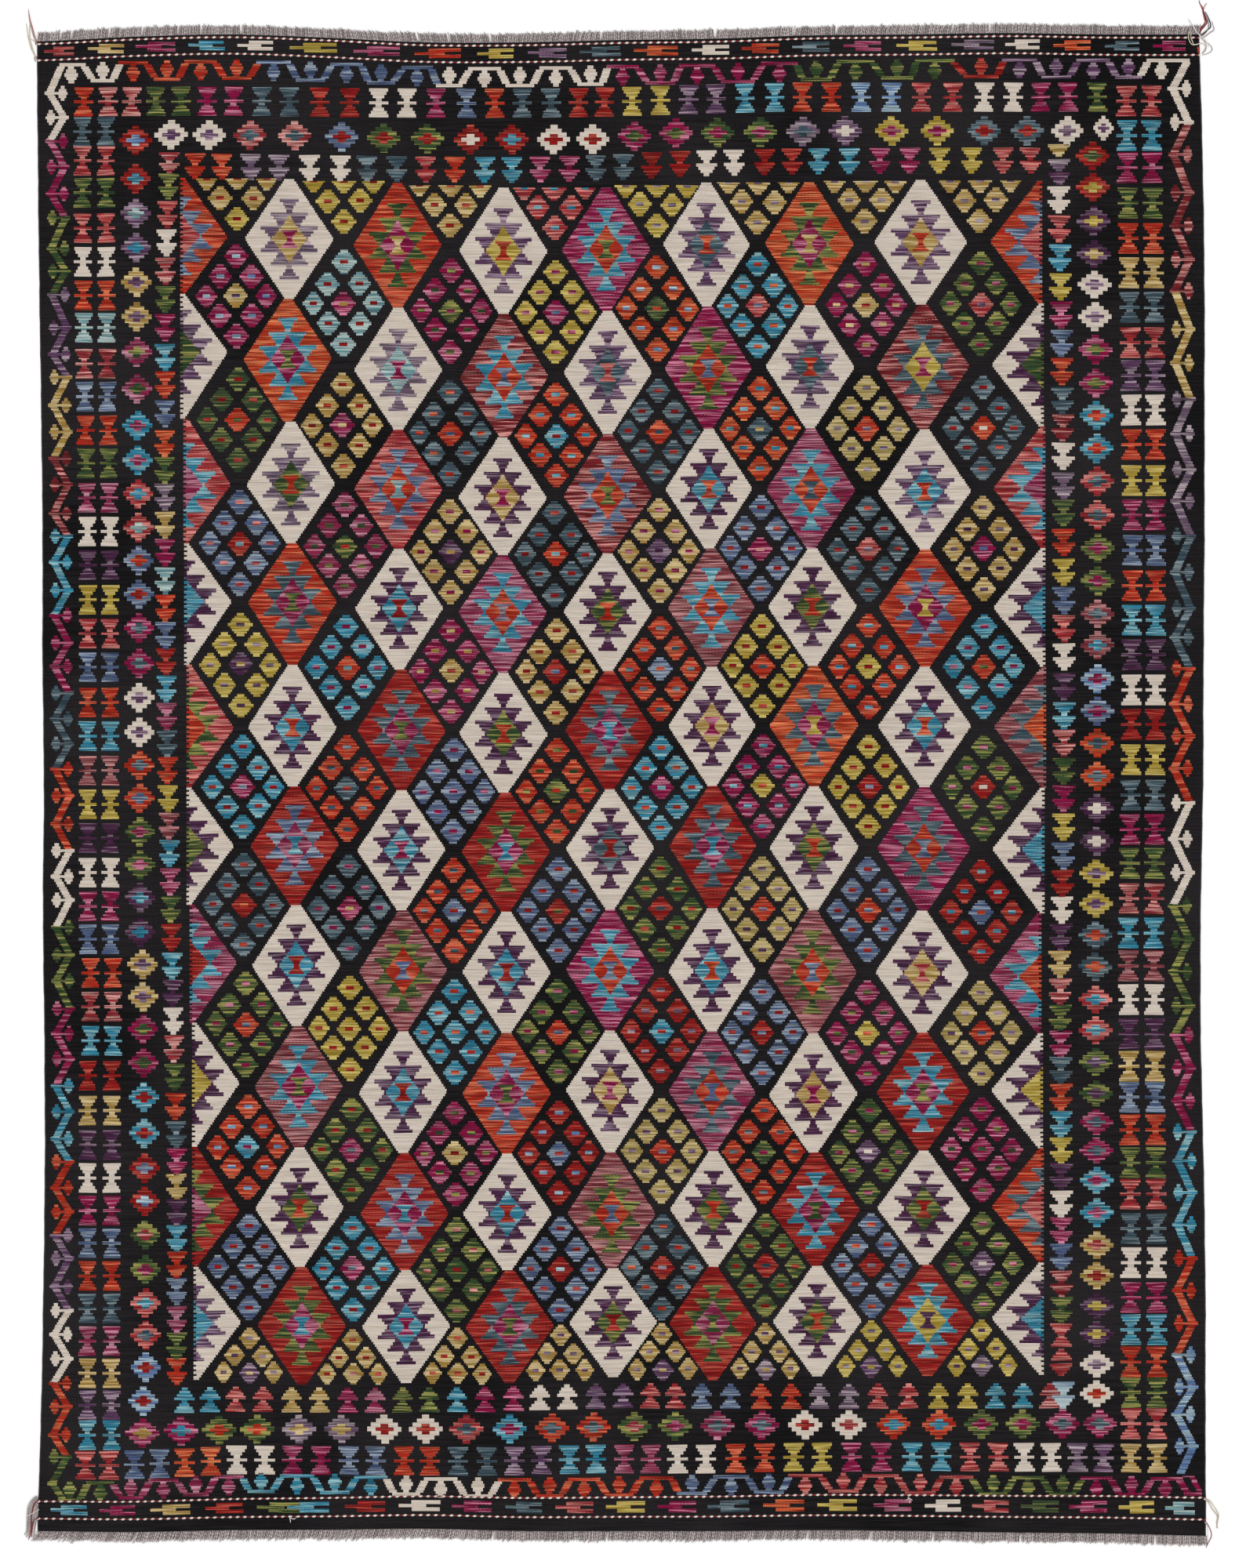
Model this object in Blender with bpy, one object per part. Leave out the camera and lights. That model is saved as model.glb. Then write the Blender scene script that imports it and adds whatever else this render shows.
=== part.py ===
"""A flat-woven wool rug lying flat, with its trimmed warp fringe and the loose ends of its twined rows.

Metres, +Z up. X runs across the rug and +Y along it.
The origin is on the floor, under the middle of the whole rug.
"""

import math
import random
from collections import namedtuple

import bmesh
import bpy
from mathutils import Vector

MM = 0.001

# Driving dimensions of the cloth
CLOTH_WIDTH = 2510 * MM
CLOTH_LENGTH = 3230 * MM
CLOTH_THICKNESS = 2.8 * MM
SELVEDGE_WIDTH = 5 * MM
SELVEDGE_EDGE_HEIGHT = 1.7 * MM

# Unevenness of a hand weave: two slow waves over the top, each from its height and its turn
# in radians for each metre across and each metre along, and at the middle
SurfaceWave = namedtuple("SurfaceWave", "height across along start")
SURFACE_WAVES = (
    SurfaceWave(height=0.12 * MM, across=7.1, along=2.3, start=0.0),
    SurfaceWave(height=0.12 * MM, across=-4.9, along=3.7, start=1.3),
)

# How far the two long sides lie inside the cloth's widest lines, in mm, at even stations from the bottom up
SideStation = namedtuple("SideStation", "left right")
SIDES = (
    SideStation(left=1, right=0),
    SideStation(left=9, right=1),
    SideStation(left=14, right=1),
    SideStation(left=17, right=5),
    SideStation(left=16, right=11),
    SideStation(left=13, right=11),
    SideStation(left=15, right=6),
    SideStation(left=12, right=5),
    SideStation(left=12, right=3),
    SideStation(left=9, right=3),
    SideStation(left=5, right=3),
    SideStation(left=2, right=7),
    SideStation(left=0, right=14),
)

# How far the two ends lie inside the cloth's longest lines, in mm, at even stations from the left side
EndStation = namedtuple("EndStation", "bottom top")
ENDS = (
    EndStation(bottom=10, top=18),
    EndStation(bottom=8, top=8),
    EndStation(bottom=12, top=3),
    EndStation(bottom=13, top=10),
    EndStation(bottom=15, top=20),
    EndStation(bottom=10, top=20),
    EndStation(bottom=10, top=15),
    EndStation(bottom=10, top=12),
    EndStation(bottom=12, top=5),
    EndStation(bottom=10, top=3),
    EndStation(bottom=7, top=0),
    EndStation(bottom=5, top=3),
    EndStation(bottom=0, top=3),
)

# Two-colour twined rows, as the distance from the nearer end of the cloth at the left and the right side
TWINED_ROWS = {
    "bottom_outer": {"end": "bottom", "left": 29 * MM, "right": 37 * MM},
    "bottom_inner": {"end": "bottom", "left": 66 * MM, "right": 84 * MM},
    "top_inner": {"end": "top", "left": 43 * MM, "right": 46 * MM},
    "top_outer": {"end": "top", "left": 8 * MM, "right": 9 * MM},
}
TWINE_WIDTH = 5 * MM
TWINE_HEIGHT = 1.4 * MM
# The ridge's half-round section, as shares of its half width and its height
TWINE_SECTION = ((-1.0, 0.0), (-0.6, 0.75), (0.0, 1.0), (0.6, 0.75), (1.0, 0.0))

CLOTH_COLUMNS = 32
CLOTH_ROWS = 36

# Warp fringe
LOCKS_PER_END = 120
FRINGE_HEADING = 3 * MM
FRINGE_THICKNESS = 2.2 * MM
LOCK_ROOT_SHARE = 0.86
LOCK_TIP_SHARE = 0.72
LOCK_LEAN_RANDOM = 0.8 * MM
LOCK_LENGTH_RANDOM = 1.6 * MM
FRINGES = {
    "fringe_top": {
        "end": "top",
        "out": 1,
        "length": 15 * MM,
        "lean": 3.5 * MM,
        "lean_waves": 3.5,
        "seed": 4,
    },
    "fringe_bottom": {
        "end": "bottom",
        "out": -1,
        "length": 18 * MM,
        "lean": 4.5 * MM,
        "lean_waves": 2.5,
        "seed": 9,
    },
}

# Loose yarn where a twined row leaves the cloth. The route of its middle on the floor is in mm from the knot,
# away from the cloth and towards the top end. Its two strands lie spread mm apart by the tip.
YARN_THICKNESS = 2.4 * MM
YARN_WIDTH = 3.0 * MM
YARN_TIP_SHARE = 0.6
STRAND_HALF_APART = 0.4
STRAND_SLANT = 0.3
KNOT_SIZE = 4.6 * MM
KNOT_HEIGHT = 3.2 * MM
YARN_ENDS = {
    "yarn_end_top_outer_left": {
        "row": "top_outer",
        "side": "left",
        "route": ((0, 0), (5, 17), (10, 34), (15, 51), (18, 68), (20, 82)),
        "spread": 3,
    },
    "yarn_end_top_inner_left": {
        "row": "top_inner",
        "side": "left",
        "route": ((0, 0), (6, 12), (13, 27), (18, 46), (22, 66), (25, 81)),
        "spread": 5,
    },
    "yarn_end_top_outer_right": {
        "row": "top_outer",
        "side": "right",
        "route": ((0, 0), (8, 17), (13, 31), (10, 45), (5, 58), (1, 70), (-2, 80)),
        "spread": 6,
    },
    "yarn_end_top_inner_right": {
        "row": "top_inner",
        "side": "right",
        "route": ((0, 0), (11, 2), (19, 8), (21, 17), (14, 27)),
        "spread": 4,
    },
    "yarn_end_bottom_inner_left": {
        "row": "bottom_inner",
        "side": "left",
        "route": ((0, 0), (9, -9), (15, -26), (17, -46), (18, -64), (22, -81)),
        "spread": 3,
    },
    "yarn_end_bottom_outer_left": {
        "row": "bottom_outer",
        "side": "left",
        "route": ((0, 0), (6, -5), (9, -15), (10, -28), (11, -40)),
        "spread": 2,
    },
    "yarn_end_bottom_inner_right": {
        "row": "bottom_inner",
        "side": "right",
        "route": ((0, 0), (6, -8), (15, -23), (22, -36), (23, -50), (24, -65)),
        "spread": 6,
    },
    "yarn_end_bottom_outer_right": {
        "row": "bottom_outer",
        "side": "right",
        "route": ((0, 0), (6, -9), (12, -27), (12, -37), (8, -46), (7, -56)),
        "spread": 2,
    },
}

GAP = 0.3 * MM

WOOL_COLOURS = {
    "ground_wool": (0.012, 0.012, 0.015),
    "undyed_warp": (0.42, 0.37, 0.36),
    "madder_yarn": (0.32, 0.03, 0.04),
}


def clear_scene():
    for thing in list(bpy.data.objects):
        bpy.data.objects.remove(thing)


def wool(name):
    material = bpy.data.materials.new(name)
    material.use_nodes = True
    shader = material.node_tree.nodes["Principled BSDF"]
    shader.inputs["Base Color"].default_value = (*WOOL_COLOURS[name], 1)
    shader.inputs["Roughness"].default_value = 0.92
    shader.inputs["Metallic"].default_value = 0.0
    return material


def between(first, last, share):
    return first + (last - first) * share


def read_smooth(stations, share):
    """The value at a share of the way along evenly spaced stations, on a Catmull-Rom curve."""
    place = min(max(share, 0.0), 1.0) * (len(stations) - 1)
    index = min(int(place), len(stations) - 2)
    local = place - index
    before = stations[max(index - 1, 0)]
    start = stations[index]
    end = stations[index + 1]
    after = stations[min(index + 2, len(stations) - 1)]
    return 0.5 * (
        2 * start
        + (end - before) * local
        + (2 * before - 5 * start + 4 * end - after) * local**2
        + (3 * start - before - 3 * end + after) * local**3
    )


def end_edge(end, across):
    """Y of the cloth's top or bottom edge at a share of the way across."""
    if end == "top":
        return CLOTH_LENGTH / 2 - read_smooth([station.top for station in ENDS], across) * MM
    return -CLOTH_LENGTH / 2 + read_smooth([station.bottom for station in ENDS], across) * MM


def side_edge(side, y):
    """X of the cloth's left or right edge at a height along the rug."""
    along = y / CLOTH_LENGTH + 0.5
    if side == "left":
        return -CLOTH_WIDTH / 2 + read_smooth([station.left for station in SIDES], along) * MM
    return CLOTH_WIDTH / 2 - read_smooth([station.right for station in SIDES], along) * MM


def twined_row_y(name, across):
    """Y of a twined row's crest at a share of the way across."""
    row = TWINED_ROWS[name]
    distance = between(row["left"], row["right"], across)
    inward = -1 if row["end"] == "top" else 1
    return end_edge(row["end"], across) + inward * distance


def cloth_x(across, y):
    """X of a point of the cloth, from its share of the way across and its height along the rug."""
    return between(side_edge("left", y), side_edge("right", y), across)


def row_lines(across):
    """(y, ridge height) of each grid row at a share of the way across, from the bottom edge to the top."""
    lines = [(end_edge("bottom", across), 0.0)]
    ridges = {}
    for name in TWINED_ROWS:
        crest = twined_row_y(name, across)
        ridges[name] = [
            (crest + offset * TWINE_WIDTH / 2, height * TWINE_HEIGHT) for offset, height in TWINE_SECTION
        ]
    lines += ridges["bottom_outer"] + ridges["bottom_inner"]
    start = lines[-1][0]
    end = ridges["top_inner"][0][0]
    for step in range(1, CLOTH_ROWS):
        lines.append((between(start, end, step / CLOTH_ROWS), 0.0))
    lines += ridges["top_inner"] + ridges["top_outer"]
    lines.append((end_edge("top", across), 0.0))
    return lines


def column_shares():
    """Shares of the way across, with a narrow column at each side for the rounded selvedge."""
    narrow = SELVEDGE_WIDTH / CLOTH_WIDTH
    inner = [between(narrow, 1 - narrow, step / CLOTH_COLUMNS) for step in range(CLOTH_COLUMNS + 1)]
    return [0.0, *inner, 1.0]


def surface_height(x, y):
    """Height of the cloth's top at a point, with the slight unevenness of a hand weave."""
    waves = (wave.height * math.sin(wave.across * x + wave.along * y + wave.start) for wave in SURFACE_WAVES)
    return CLOTH_THICKNESS + sum(waves)


def make_cloth():
    """One closed sheet: an uneven top with four twined ridges, straight side walls and a flat underside."""
    mesh = bmesh.new()
    shares = column_shares()
    last = len(shares) - 1
    top = []
    for column, across in enumerate(shares):
        line = []
        for y, ridge in row_lines(across):
            x = cloth_x(across, y)
            on_edge = column in (0, last)
            height = SELVEDGE_EDGE_HEIGHT if on_edge else surface_height(x, y)
            line.append(mesh.verts.new((x, y, height + ridge)))
        top.append(line)
    rows = len(top[0])
    for column in range(last):
        for row in range(rows - 1):
            corners = (top[column][row], top[column + 1][row], top[column + 1][row + 1], top[column][row + 1])
            mesh.faces.new(corners)
    rim = [top[column][0] for column in range(last)]
    rim += [top[last][row] for row in range(rows - 1)]
    rim += [top[column][rows - 1] for column in range(last, 0, -1)]
    rim += [top[0][row] for row in range(rows - 1, 0, -1)]
    floor = [mesh.verts.new((point.co.x, point.co.y, 0.0)) for point in rim]
    for index, point in enumerate(rim):
        following = (index + 1) % len(rim)
        mesh.faces.new((floor[index], floor[following], rim[following], point))
    mesh.faces.new(list(reversed(floor)))
    return object_from(mesh, "kilim_cloth", "ground_wool")


def fringe_root(fringe, across, outward):
    """A point beside the cloth's end, outward from its edge by the given distance."""
    shares = column_shares()
    index = max(i for i, share in enumerate(shares[:-1]) if share <= across)
    local = (across - shares[index]) / (shares[index + 1] - shares[index])
    ends = []
    for share in shares[index : index + 2]:
        y = end_edge(fringe["end"], share)
        ends.append(Vector((cloth_x(share, y), y)))
    point = ends[0].lerp(ends[1], local)
    return Vector((point.x, point.y + fringe["out"] * outward))


def make_fringe(name):
    """Locks of trimmed warp ends, fused at the root to a narrow heading that lies along the cloth's edge."""
    fringe = FRINGES[name]
    chance = random.Random(fringe["seed"])
    mesh = bmesh.new()
    outline = [fringe_root(fringe, share, GAP) for share in column_shares()]
    pitch = 1 / LOCKS_PER_END
    locks = []
    for lock in range(LOCKS_PER_END):
        middle = (lock + 0.5) * pitch
        wave = math.sin(2 * math.pi * fringe["lean_waves"] * middle)
        lean = fringe["lean"] * wave + chance.uniform(-1, 1) * LOCK_LEAN_RANDOM
        length = fringe["length"] + chance.uniform(-1, 1) * LOCK_LENGTH_RANDOM
        root_half = pitch * LOCK_ROOT_SHARE / 2
        tip_half = CLOTH_WIDTH * pitch * LOCK_TIP_SHARE / 2
        tip = fringe_root(fringe, middle, FRINGE_HEADING + length) + Vector((lean, 0))
        locks += [
            fringe_root(fringe, middle - root_half, FRINGE_HEADING),
            tip - Vector((tip_half, 0)),
            tip + Vector((tip_half, 0)),
            fringe_root(fringe, middle + root_half, FRINGE_HEADING),
        ]
    outline += [fringe_root(fringe, 1.0, FRINGE_HEADING)]
    outline += list(reversed(locks))
    outline += [fringe_root(fringe, 0.0, FRINGE_HEADING)]
    floor = mesh.faces.new([mesh.verts.new((point.x, point.y, 0.0)) for point in outline])
    lifted = bmesh.ops.extrude_face_region(mesh, geom=[floor])["geom"]
    raised = [item for item in lifted if isinstance(item, bmesh.types.BMVert)]
    bmesh.ops.translate(mesh, verts=raised, vec=(0, 0, FRINGE_THICKNESS))
    bmesh.ops.recalc_face_normals(mesh, faces=mesh.faces)
    return object_from(mesh, name, "undyed_warp")


def strand_mesh(points):
    """A four-sided strand that lies on the floor along the given points and narrows to its tip."""
    mesh = bmesh.new()
    rings = []
    for index, point in enumerate(points):
        ahead = points[min(index + 1, len(points) - 1)] - points[max(index - 1, 0)]
        sideways = Vector((-ahead.y, ahead.x)).normalized()
        width = YARN_WIDTH * between(1, YARN_TIP_SHARE, index / (len(points) - 1))
        left = point + sideways * width / 2
        right = point - sideways * width / 2
        corners = (
            (left.x, left.y, 0.0),
            (right.x, right.y, 0.0),
            (right.x, right.y, YARN_THICKNESS),
            (left.x, left.y, YARN_THICKNESS),
        )
        rings.append([mesh.verts.new(corner) for corner in corners])
    for ring, following in zip(rings, rings[1:]):
        for side in range(4):
            beside = (side + 1) % 4
            mesh.faces.new((ring[side], ring[beside], following[beside], following[side]))
    mesh.faces.new(rings[0])
    mesh.faces.new(rings[-1])
    bmesh.ops.recalc_face_normals(mesh, faces=mesh.faces)
    return mesh


def make_yarn_end(name):
    """A knot beside the cloth's edge, with a row's two yarns lying loose on the floor from it."""
    end = YARN_ENDS[name]
    out = -1 if end["side"] == "left" else 1
    across = 0.0 if end["side"] == "left" else 1.0
    y = twined_row_y(end["row"], across)
    middle = Vector((side_edge(end["side"], y) + out * (GAP + KNOT_SIZE / 2), y))
    knot_mesh = bmesh.new()
    bmesh.ops.create_cube(knot_mesh, size=1.0)
    bmesh.ops.scale(knot_mesh, vec=(KNOT_SIZE, KNOT_SIZE, KNOT_HEIGHT), verts=knot_mesh.verts)
    bmesh.ops.translate(knot_mesh, vec=(middle.x, middle.y, KNOT_HEIGHT / 2), verts=knot_mesh.verts)
    knot = object_from(knot_mesh, name, "madder_yarn")
    last = len(end["route"]) - 1
    for strand, spread_side in enumerate((-1, 1)):
        points = []
        for index, (away, up) in enumerate(end["route"]):
            spread = spread_side * (STRAND_HALF_APART + end["spread"] / 2 * index / last)
            points.append(middle + Vector((out * (away + spread), up + spread * STRAND_SLANT)) * MM)
        yarn = object_from(strand_mesh(points), f"{name}_strand_{strand}", "madder_yarn")
        yarn.hide_render = True
        yarn.display_type = "WIRE"
        joined = knot.modifiers.new("strand", "BOOLEAN")
        joined.operation = "UNION"
        joined.solver = "EXACT"
        joined.object = yarn
    return knot


def object_from(mesh, name, material):
    data = bpy.data.meshes.new(name)
    mesh.to_mesh(data)
    mesh.free()
    data.materials.append(bpy.data.materials.get(material) or wool(material))
    made = bpy.data.objects.new(name, data)
    bpy.context.scene.collection.objects.link(made)
    return made


def centre_on_origin():
    """Moves everything sideways, so that the origin is under the middle of the whole rug."""
    shown = [thing for thing in bpy.data.objects if thing.type == "MESH"]
    corners = [thing.matrix_world @ point.co for thing in shown for point in thing.data.vertices]
    middle_x = (min(c.x for c in corners) + max(c.x for c in corners)) / 2
    middle_y = (min(c.y for c in corners) + max(c.y for c in corners)) / 2
    for thing in shown:
        thing.location -= Vector((middle_x, middle_y, 0.0))


def main():
    clear_scene()
    make_cloth()
    for name in FRINGES:
        make_fringe(name)
    for name in YARN_ENDS:
        make_yarn_end(name)
    bpy.context.view_layer.update()
    centre_on_origin()


main()
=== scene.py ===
import math
import random

import bpy
import numpy as np
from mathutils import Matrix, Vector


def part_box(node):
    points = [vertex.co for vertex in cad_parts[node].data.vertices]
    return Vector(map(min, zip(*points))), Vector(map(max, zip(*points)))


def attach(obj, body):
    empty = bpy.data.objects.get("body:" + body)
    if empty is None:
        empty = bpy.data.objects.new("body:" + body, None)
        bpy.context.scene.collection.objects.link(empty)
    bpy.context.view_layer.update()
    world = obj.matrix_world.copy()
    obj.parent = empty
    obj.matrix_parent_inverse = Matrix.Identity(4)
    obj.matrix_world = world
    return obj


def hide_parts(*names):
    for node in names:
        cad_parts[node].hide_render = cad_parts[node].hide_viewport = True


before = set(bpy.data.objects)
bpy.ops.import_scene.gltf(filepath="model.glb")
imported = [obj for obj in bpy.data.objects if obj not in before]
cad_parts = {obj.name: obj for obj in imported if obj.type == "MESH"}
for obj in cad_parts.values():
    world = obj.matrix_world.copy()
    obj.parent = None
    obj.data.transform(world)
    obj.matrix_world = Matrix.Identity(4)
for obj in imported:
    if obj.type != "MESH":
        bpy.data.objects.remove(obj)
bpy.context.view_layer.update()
mm = 0.001
noiseSpan = (0.3, 0.7)  # where most values of a noise lie
clothLow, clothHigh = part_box("kilim_cloth")
clothWide, clothTall = clothHigh[0] - clothLow[0], clothHigh[1] - clothLow[1]

# insets of the sides (from the bottom up) and of the ends (from the left), in mm, as the CAD cloth has them
cloth = {
    "width": 2510 * mm,
    "length": 3230 * mm,
    "thickness": 2.8 * mm,
    # height, turn across, turn along, start
    "waves": ((0.12 * mm, 7.1, 2.3, 0.0), (0.12 * mm, -4.9, 3.7, 1.3)),
    "left": (1, 9, 14, 17, 16, 13, 15, 12, 12, 9, 5, 2, 0),
    "right": (0, 1, 1, 5, 11, 11, 6, 5, 3, 3, 3, 7, 14),
    "bottom": (10, 8, 12, 13, 15, 10, 10, 10, 12, 10, 7, 5, 0),
    "top": (18, 8, 3, 10, 20, 20, 15, 12, 5, 3, 0, 3, 3),
    "edgeWobble": 0.7 * mm,  # small unevenness of a hand-made edge
    "wobbleTurns": ((61, 0), (143, 1.7), (27, 4)),  # turn along the side, start
    # mm inwards, share of the height
    "selvedge": ((0.0, 0.32), (0.5, 0.55), (1.4, 0.8), (2.8, 0.95), (5.0, 1.0)),
    "endHeight": 0.55,  # share of the height at the very ends
    "columns": 150,
    "rows": 190,
    "flatSize": (2.50, 3.21),
    "underMap": (0.24, 0.79),  # size and place of the underside on the colour map
}


def readSmooth(stations, share):
    values = np.asarray(stations, float)
    place = np.clip(share, 0.0, 1.0) * (len(values) - 1)
    index = np.minimum(np.asarray(place).astype(int), len(values) - 2)
    t = place - index
    before, start = values[np.maximum(index - 1, 0)], values[index]
    end, after = values[index + 1], values[np.minimum(index + 2, len(values) - 1)]
    bend = (2 * before - 5 * start + 4 * end - after) * t**2 + (3 * start - before - 3 * end + after) * t**3
    return 0.5 * (2 * start + (end - before) * t + bend)


# the CAD cloth is drawn about its own middle and then moved, so the shift comes from its box
shiftX = (clothLow[0] + clothHigh[0]) / 2
shiftY = (clothLow[1] + clothHigh[1]) / 2


def leftEdge(y):
    share = (y - shiftY) / cloth["length"] + 0.5
    return shiftX - cloth["width"] / 2 + readSmooth(cloth["left"], share) * mm


def rightEdge(y):
    share = (y - shiftY) / cloth["length"] + 0.5
    return shiftX + cloth["width"] / 2 - readSmooth(cloth["right"], share) * mm


def bottomEdge(share):
    return shiftY - cloth["length"] / 2 + readSmooth(cloth["bottom"], share) * mm


def topEdge(share):
    return shiftY + cloth["length"] / 2 - readSmooth(cloth["top"], share) * mm


def clothHeight(x, y):
    height = cloth["thickness"] + 0.0 * x
    for tall, turnX, turnY, start in cloth["waves"]:
        height = height + tall * np.sin(turnX * (x - shiftX) + turnY * (y - shiftY) + start)
    return height


def toLinear(colour):
    return tuple((c / 255 / 12.92) if c <= 10 else ((c / 255 + 0.055) / 1.055) ** 2.4 for c in colour)


def paint(colour):
    # a colour for a shader socket, with its alpha
    return (*toLinear(colour), 1)


class Nodes:
    # short way to add and join shader nodes
    settings = ("operation", "data_type", "blend_type", "attribute_name")

    def __init__(self, name):
        self.material = bpy.data.materials.new(name)
        self.material.use_nodes = True
        self.tree = self.material.node_tree
        self.shader = self.tree.nodes["Principled BSDF"]
        self.place = self.add("TexCoord").outputs["Object"]

    def add(self, kind, **inputs):
        node = self.tree.nodes.new("ShaderNode" + kind)
        for key in self.settings:
            if key in inputs:
                setattr(node, key, inputs.pop(key))
        for key, value in inputs.items():
            byNumber = key[0] == "i" and key[1:].isdigit()  # "i6" is the socket number six
            self.give(node.inputs[int(key[1:]) if byNumber else key], value)
        return node

    def give(self, socket, value):
        if isinstance(value, bpy.types.NodeSocket):
            self.tree.links.new(value, socket)
        else:
            socket.default_value = value

    def math(self, operation, a, b=0.0):
        return self.add("Math", operation=operation, i0=a, i1=b).outputs[0]

    def plus(self, a, b):
        return self.math("ADD", a, b)

    def minus(self, a, b):
        return self.math("SUBTRACT", a, b)

    def times(self, a, b):
        return self.math("MULTIPLY", a, b)

    def over(self, a, b):
        return self.math("DIVIDE", a, b)

    def fit(self, value, low, high, toLow=0.0, toHigh=1.0):
        node = self.add("MapRange", Value=value)
        for key, number in (("From Min", low), ("From Max", high), ("To Min", toLow), ("To Max", toHigh)):
            self.give(node.inputs[key], number)
        return node.outputs[0]

    def noise(self, place, scale, detail):
        return self.add("TexNoise", Vector=place, Scale=scale, Detail=detail).outputs[0]

    def spot(self, x, y, z=0.0):
        return self.add("CombineXYZ", X=x, Y=y, Z=z).outputs[0]

    def blend(self, share, a, b, way="MIX"):
        return self.add("Mix", data_type="RGBA", blend_type=way, i0=share, i6=a, i7=b).outputs[2]

    def shaded(self, colour, shade):
        grey = self.add("CombineColor", i0=shade, i1=shade, i2=shade).outputs[0]
        return self.blend(1.0, colour, grey, "MULTIPLY")

    def finish(self, colour, wool, height):
        # wool: the finish's own dictionary
        self.give(self.shader.inputs["Base Color"], colour)
        self.shader.inputs["Roughness"].default_value = wool["roughness"]
        self.shader.inputs["Specular IOR Level"].default_value = wool["shine"]
        self.shader.inputs["Sheen Weight"].default_value = wool["sheen"]
        strength, distance = wool["bump"]
        bump = self.add("Bump", Strength=strength, Distance=distance, Height=height)
        self.give(self.shader.inputs["Normal"], bump.outputs[0])
        return self.material


def makePiece(name, points, faces, materials, smooth=False):
    mesh = bpy.data.meshes.new(name)
    mesh.from_pydata(points, [], faces)
    for material in materials:
        mesh.materials.append(material)
    mesh.polygons.foreach_set("use_smooth", [smooth] * len(mesh.polygons))
    piece = bpy.data.objects.new(name, mesh)
    bpy.context.scene.collection.objects.link(piece)
    return piece


def giveMap(piece, corners):
    # the map that the colours are kept on when the rug is exported
    layer = piece.data.uv_layers.new(name="OFBake")
    layer.uv.foreach_set("vector", np.asarray(corners, np.float32).ravel())


groundWool = {
    "black": (10, 8, 10),
    "worn": (34, 31, 33),
    "lint": (112, 106, 110),
    "edge": (132, 122, 128),  # wool fibres that stand out at the selvedges
    "edgeWidth": 2.6 * mm,
    "streaks": 9.0,  # in a metre across
    "streakHeight": 3.6 * mm,
    "patchScale": 2.2,
    "patchWeight": 1.5,  # how much the broad patches count beside the streaks
    "wornFrom": (1.0, 1.5),  # where the worn tone starts to show and is full
    "specks": (260.0, 420.0),  # in a metre across and down
    # painted shade in the gaps between beads: least and most
    "beadShade": (0.84, 1.1),
    "speckShade": (0.66, 1.3),
    "lintFrom": (0.77, 0.86),
    "lintShare": 0.6,
    "edgeFrom": (0.3, 0.6),
    "edgeShare": (0.25, 0.8),  # of the fibres' tone at the very edge, least and most
    "streakRelief": 0.6,  # against a bead's height
    "roughness": 0.93,
    "shine": 0.15,
    "sheen": 0.0,
    "bump": (0.6, 0.4 * mm),  # strength, height
}
weft = {
    "ribPitch": 3.7 * mm,  # one warp to the next
    "beadPitch": 1.35 * mm,  # one weft to the next over the same warp
    "beadPowers": (3.0, 2.0),  # how square a bead is, across and along
    "wander": 3.4 * mm,  # how far the beaten rows stray
    "waveScale": 19.0,
    "toneShift": 0.16,  # beads that the tone shifts from one column to the next
}


def makeBeads(n, x, y):
    # a weft-faced weave: columns of beads, each set half a bead off the next
    # gives the bead's height and the middle of its row
    stray = n.times(n.minus(n.noise(n.place, weft["waveScale"], 1.0), 0.5), weft["wander"])
    across = n.over(x, weft["ribPitch"])
    parity = n.times(n.math("FRACT", n.times(n.math("FLOOR", across), 0.5)), 2.0)
    rows = n.over(n.plus(y, stray), weft["beadPitch"])
    up = n.plus(rows, n.times(parity, 0.5))
    rounds = []
    for place, power in zip((across, up), weft["beadPowers"]):
        aside = n.math("ABSOLUTE", n.minus(n.math("FRACT", place), 0.5))
        rounds.append(n.minus(1.0, n.math("POWER", n.times(aside, 2.0), power)))
    middle = n.plus(n.plus(n.math("FLOOR", rows), 0.5), n.times(parity, weft["toneShift"]))
    return n.times(*rounds), n.times(middle, weft["beadPitch"])


def makeGroundWool():
    n = Nodes("groundWool")
    x, y = n.add("SeparateXYZ", Vector=n.place).outputs[:2]
    bead, beadY = makeBeads(n, x, y)
    streakPlace = n.spot(n.times(x, groundWool["streaks"]), n.over(beadY, groundWool["streakHeight"]))
    streak = n.noise(streakPlace, 1.0, 3.0)
    patch = n.noise(n.place, groundWool["patchScale"], 3.0)
    specksAcross, specksDown = groundWool["specks"]
    speck = n.noise(n.spot(n.times(x, specksAcross), n.times(y, specksDown)), 1.0, 2.0)
    worn = n.fit(n.plus(streak, n.times(patch, groundWool["patchWeight"])), *groundWool["wornFrom"])
    base = n.blend(worn, paint(groundWool["black"]), paint(groundWool["worn"]))
    speckShade = n.fit(speck, *noiseSpan, *groundWool["speckShade"])
    # painted shade in the gaps between beads, times the random tone of the specks
    shade = n.times(n.fit(bead, 0.0, 1.0, *groundWool["beadShade"]), speckShade)
    lint = n.fit(speck, *groundWool["lintFrom"], 0.0, groundWool["lintShare"])
    colour = n.blend(lint, n.shaded(base, shade), paint(groundWool["lint"]))
    fibres = n.fit(speck, *groundWool["edgeFrom"], *groundWool["edgeShare"])
    edge = n.times(n.add("Attribute", attribute_name="edge").outputs["Fac"], fibres)
    colour = n.blend(edge, colour, paint(groundWool["edge"]))
    return n.finish(colour, groundWool, n.plus(bead, n.times(streak, groundWool["streakRelief"])))


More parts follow.
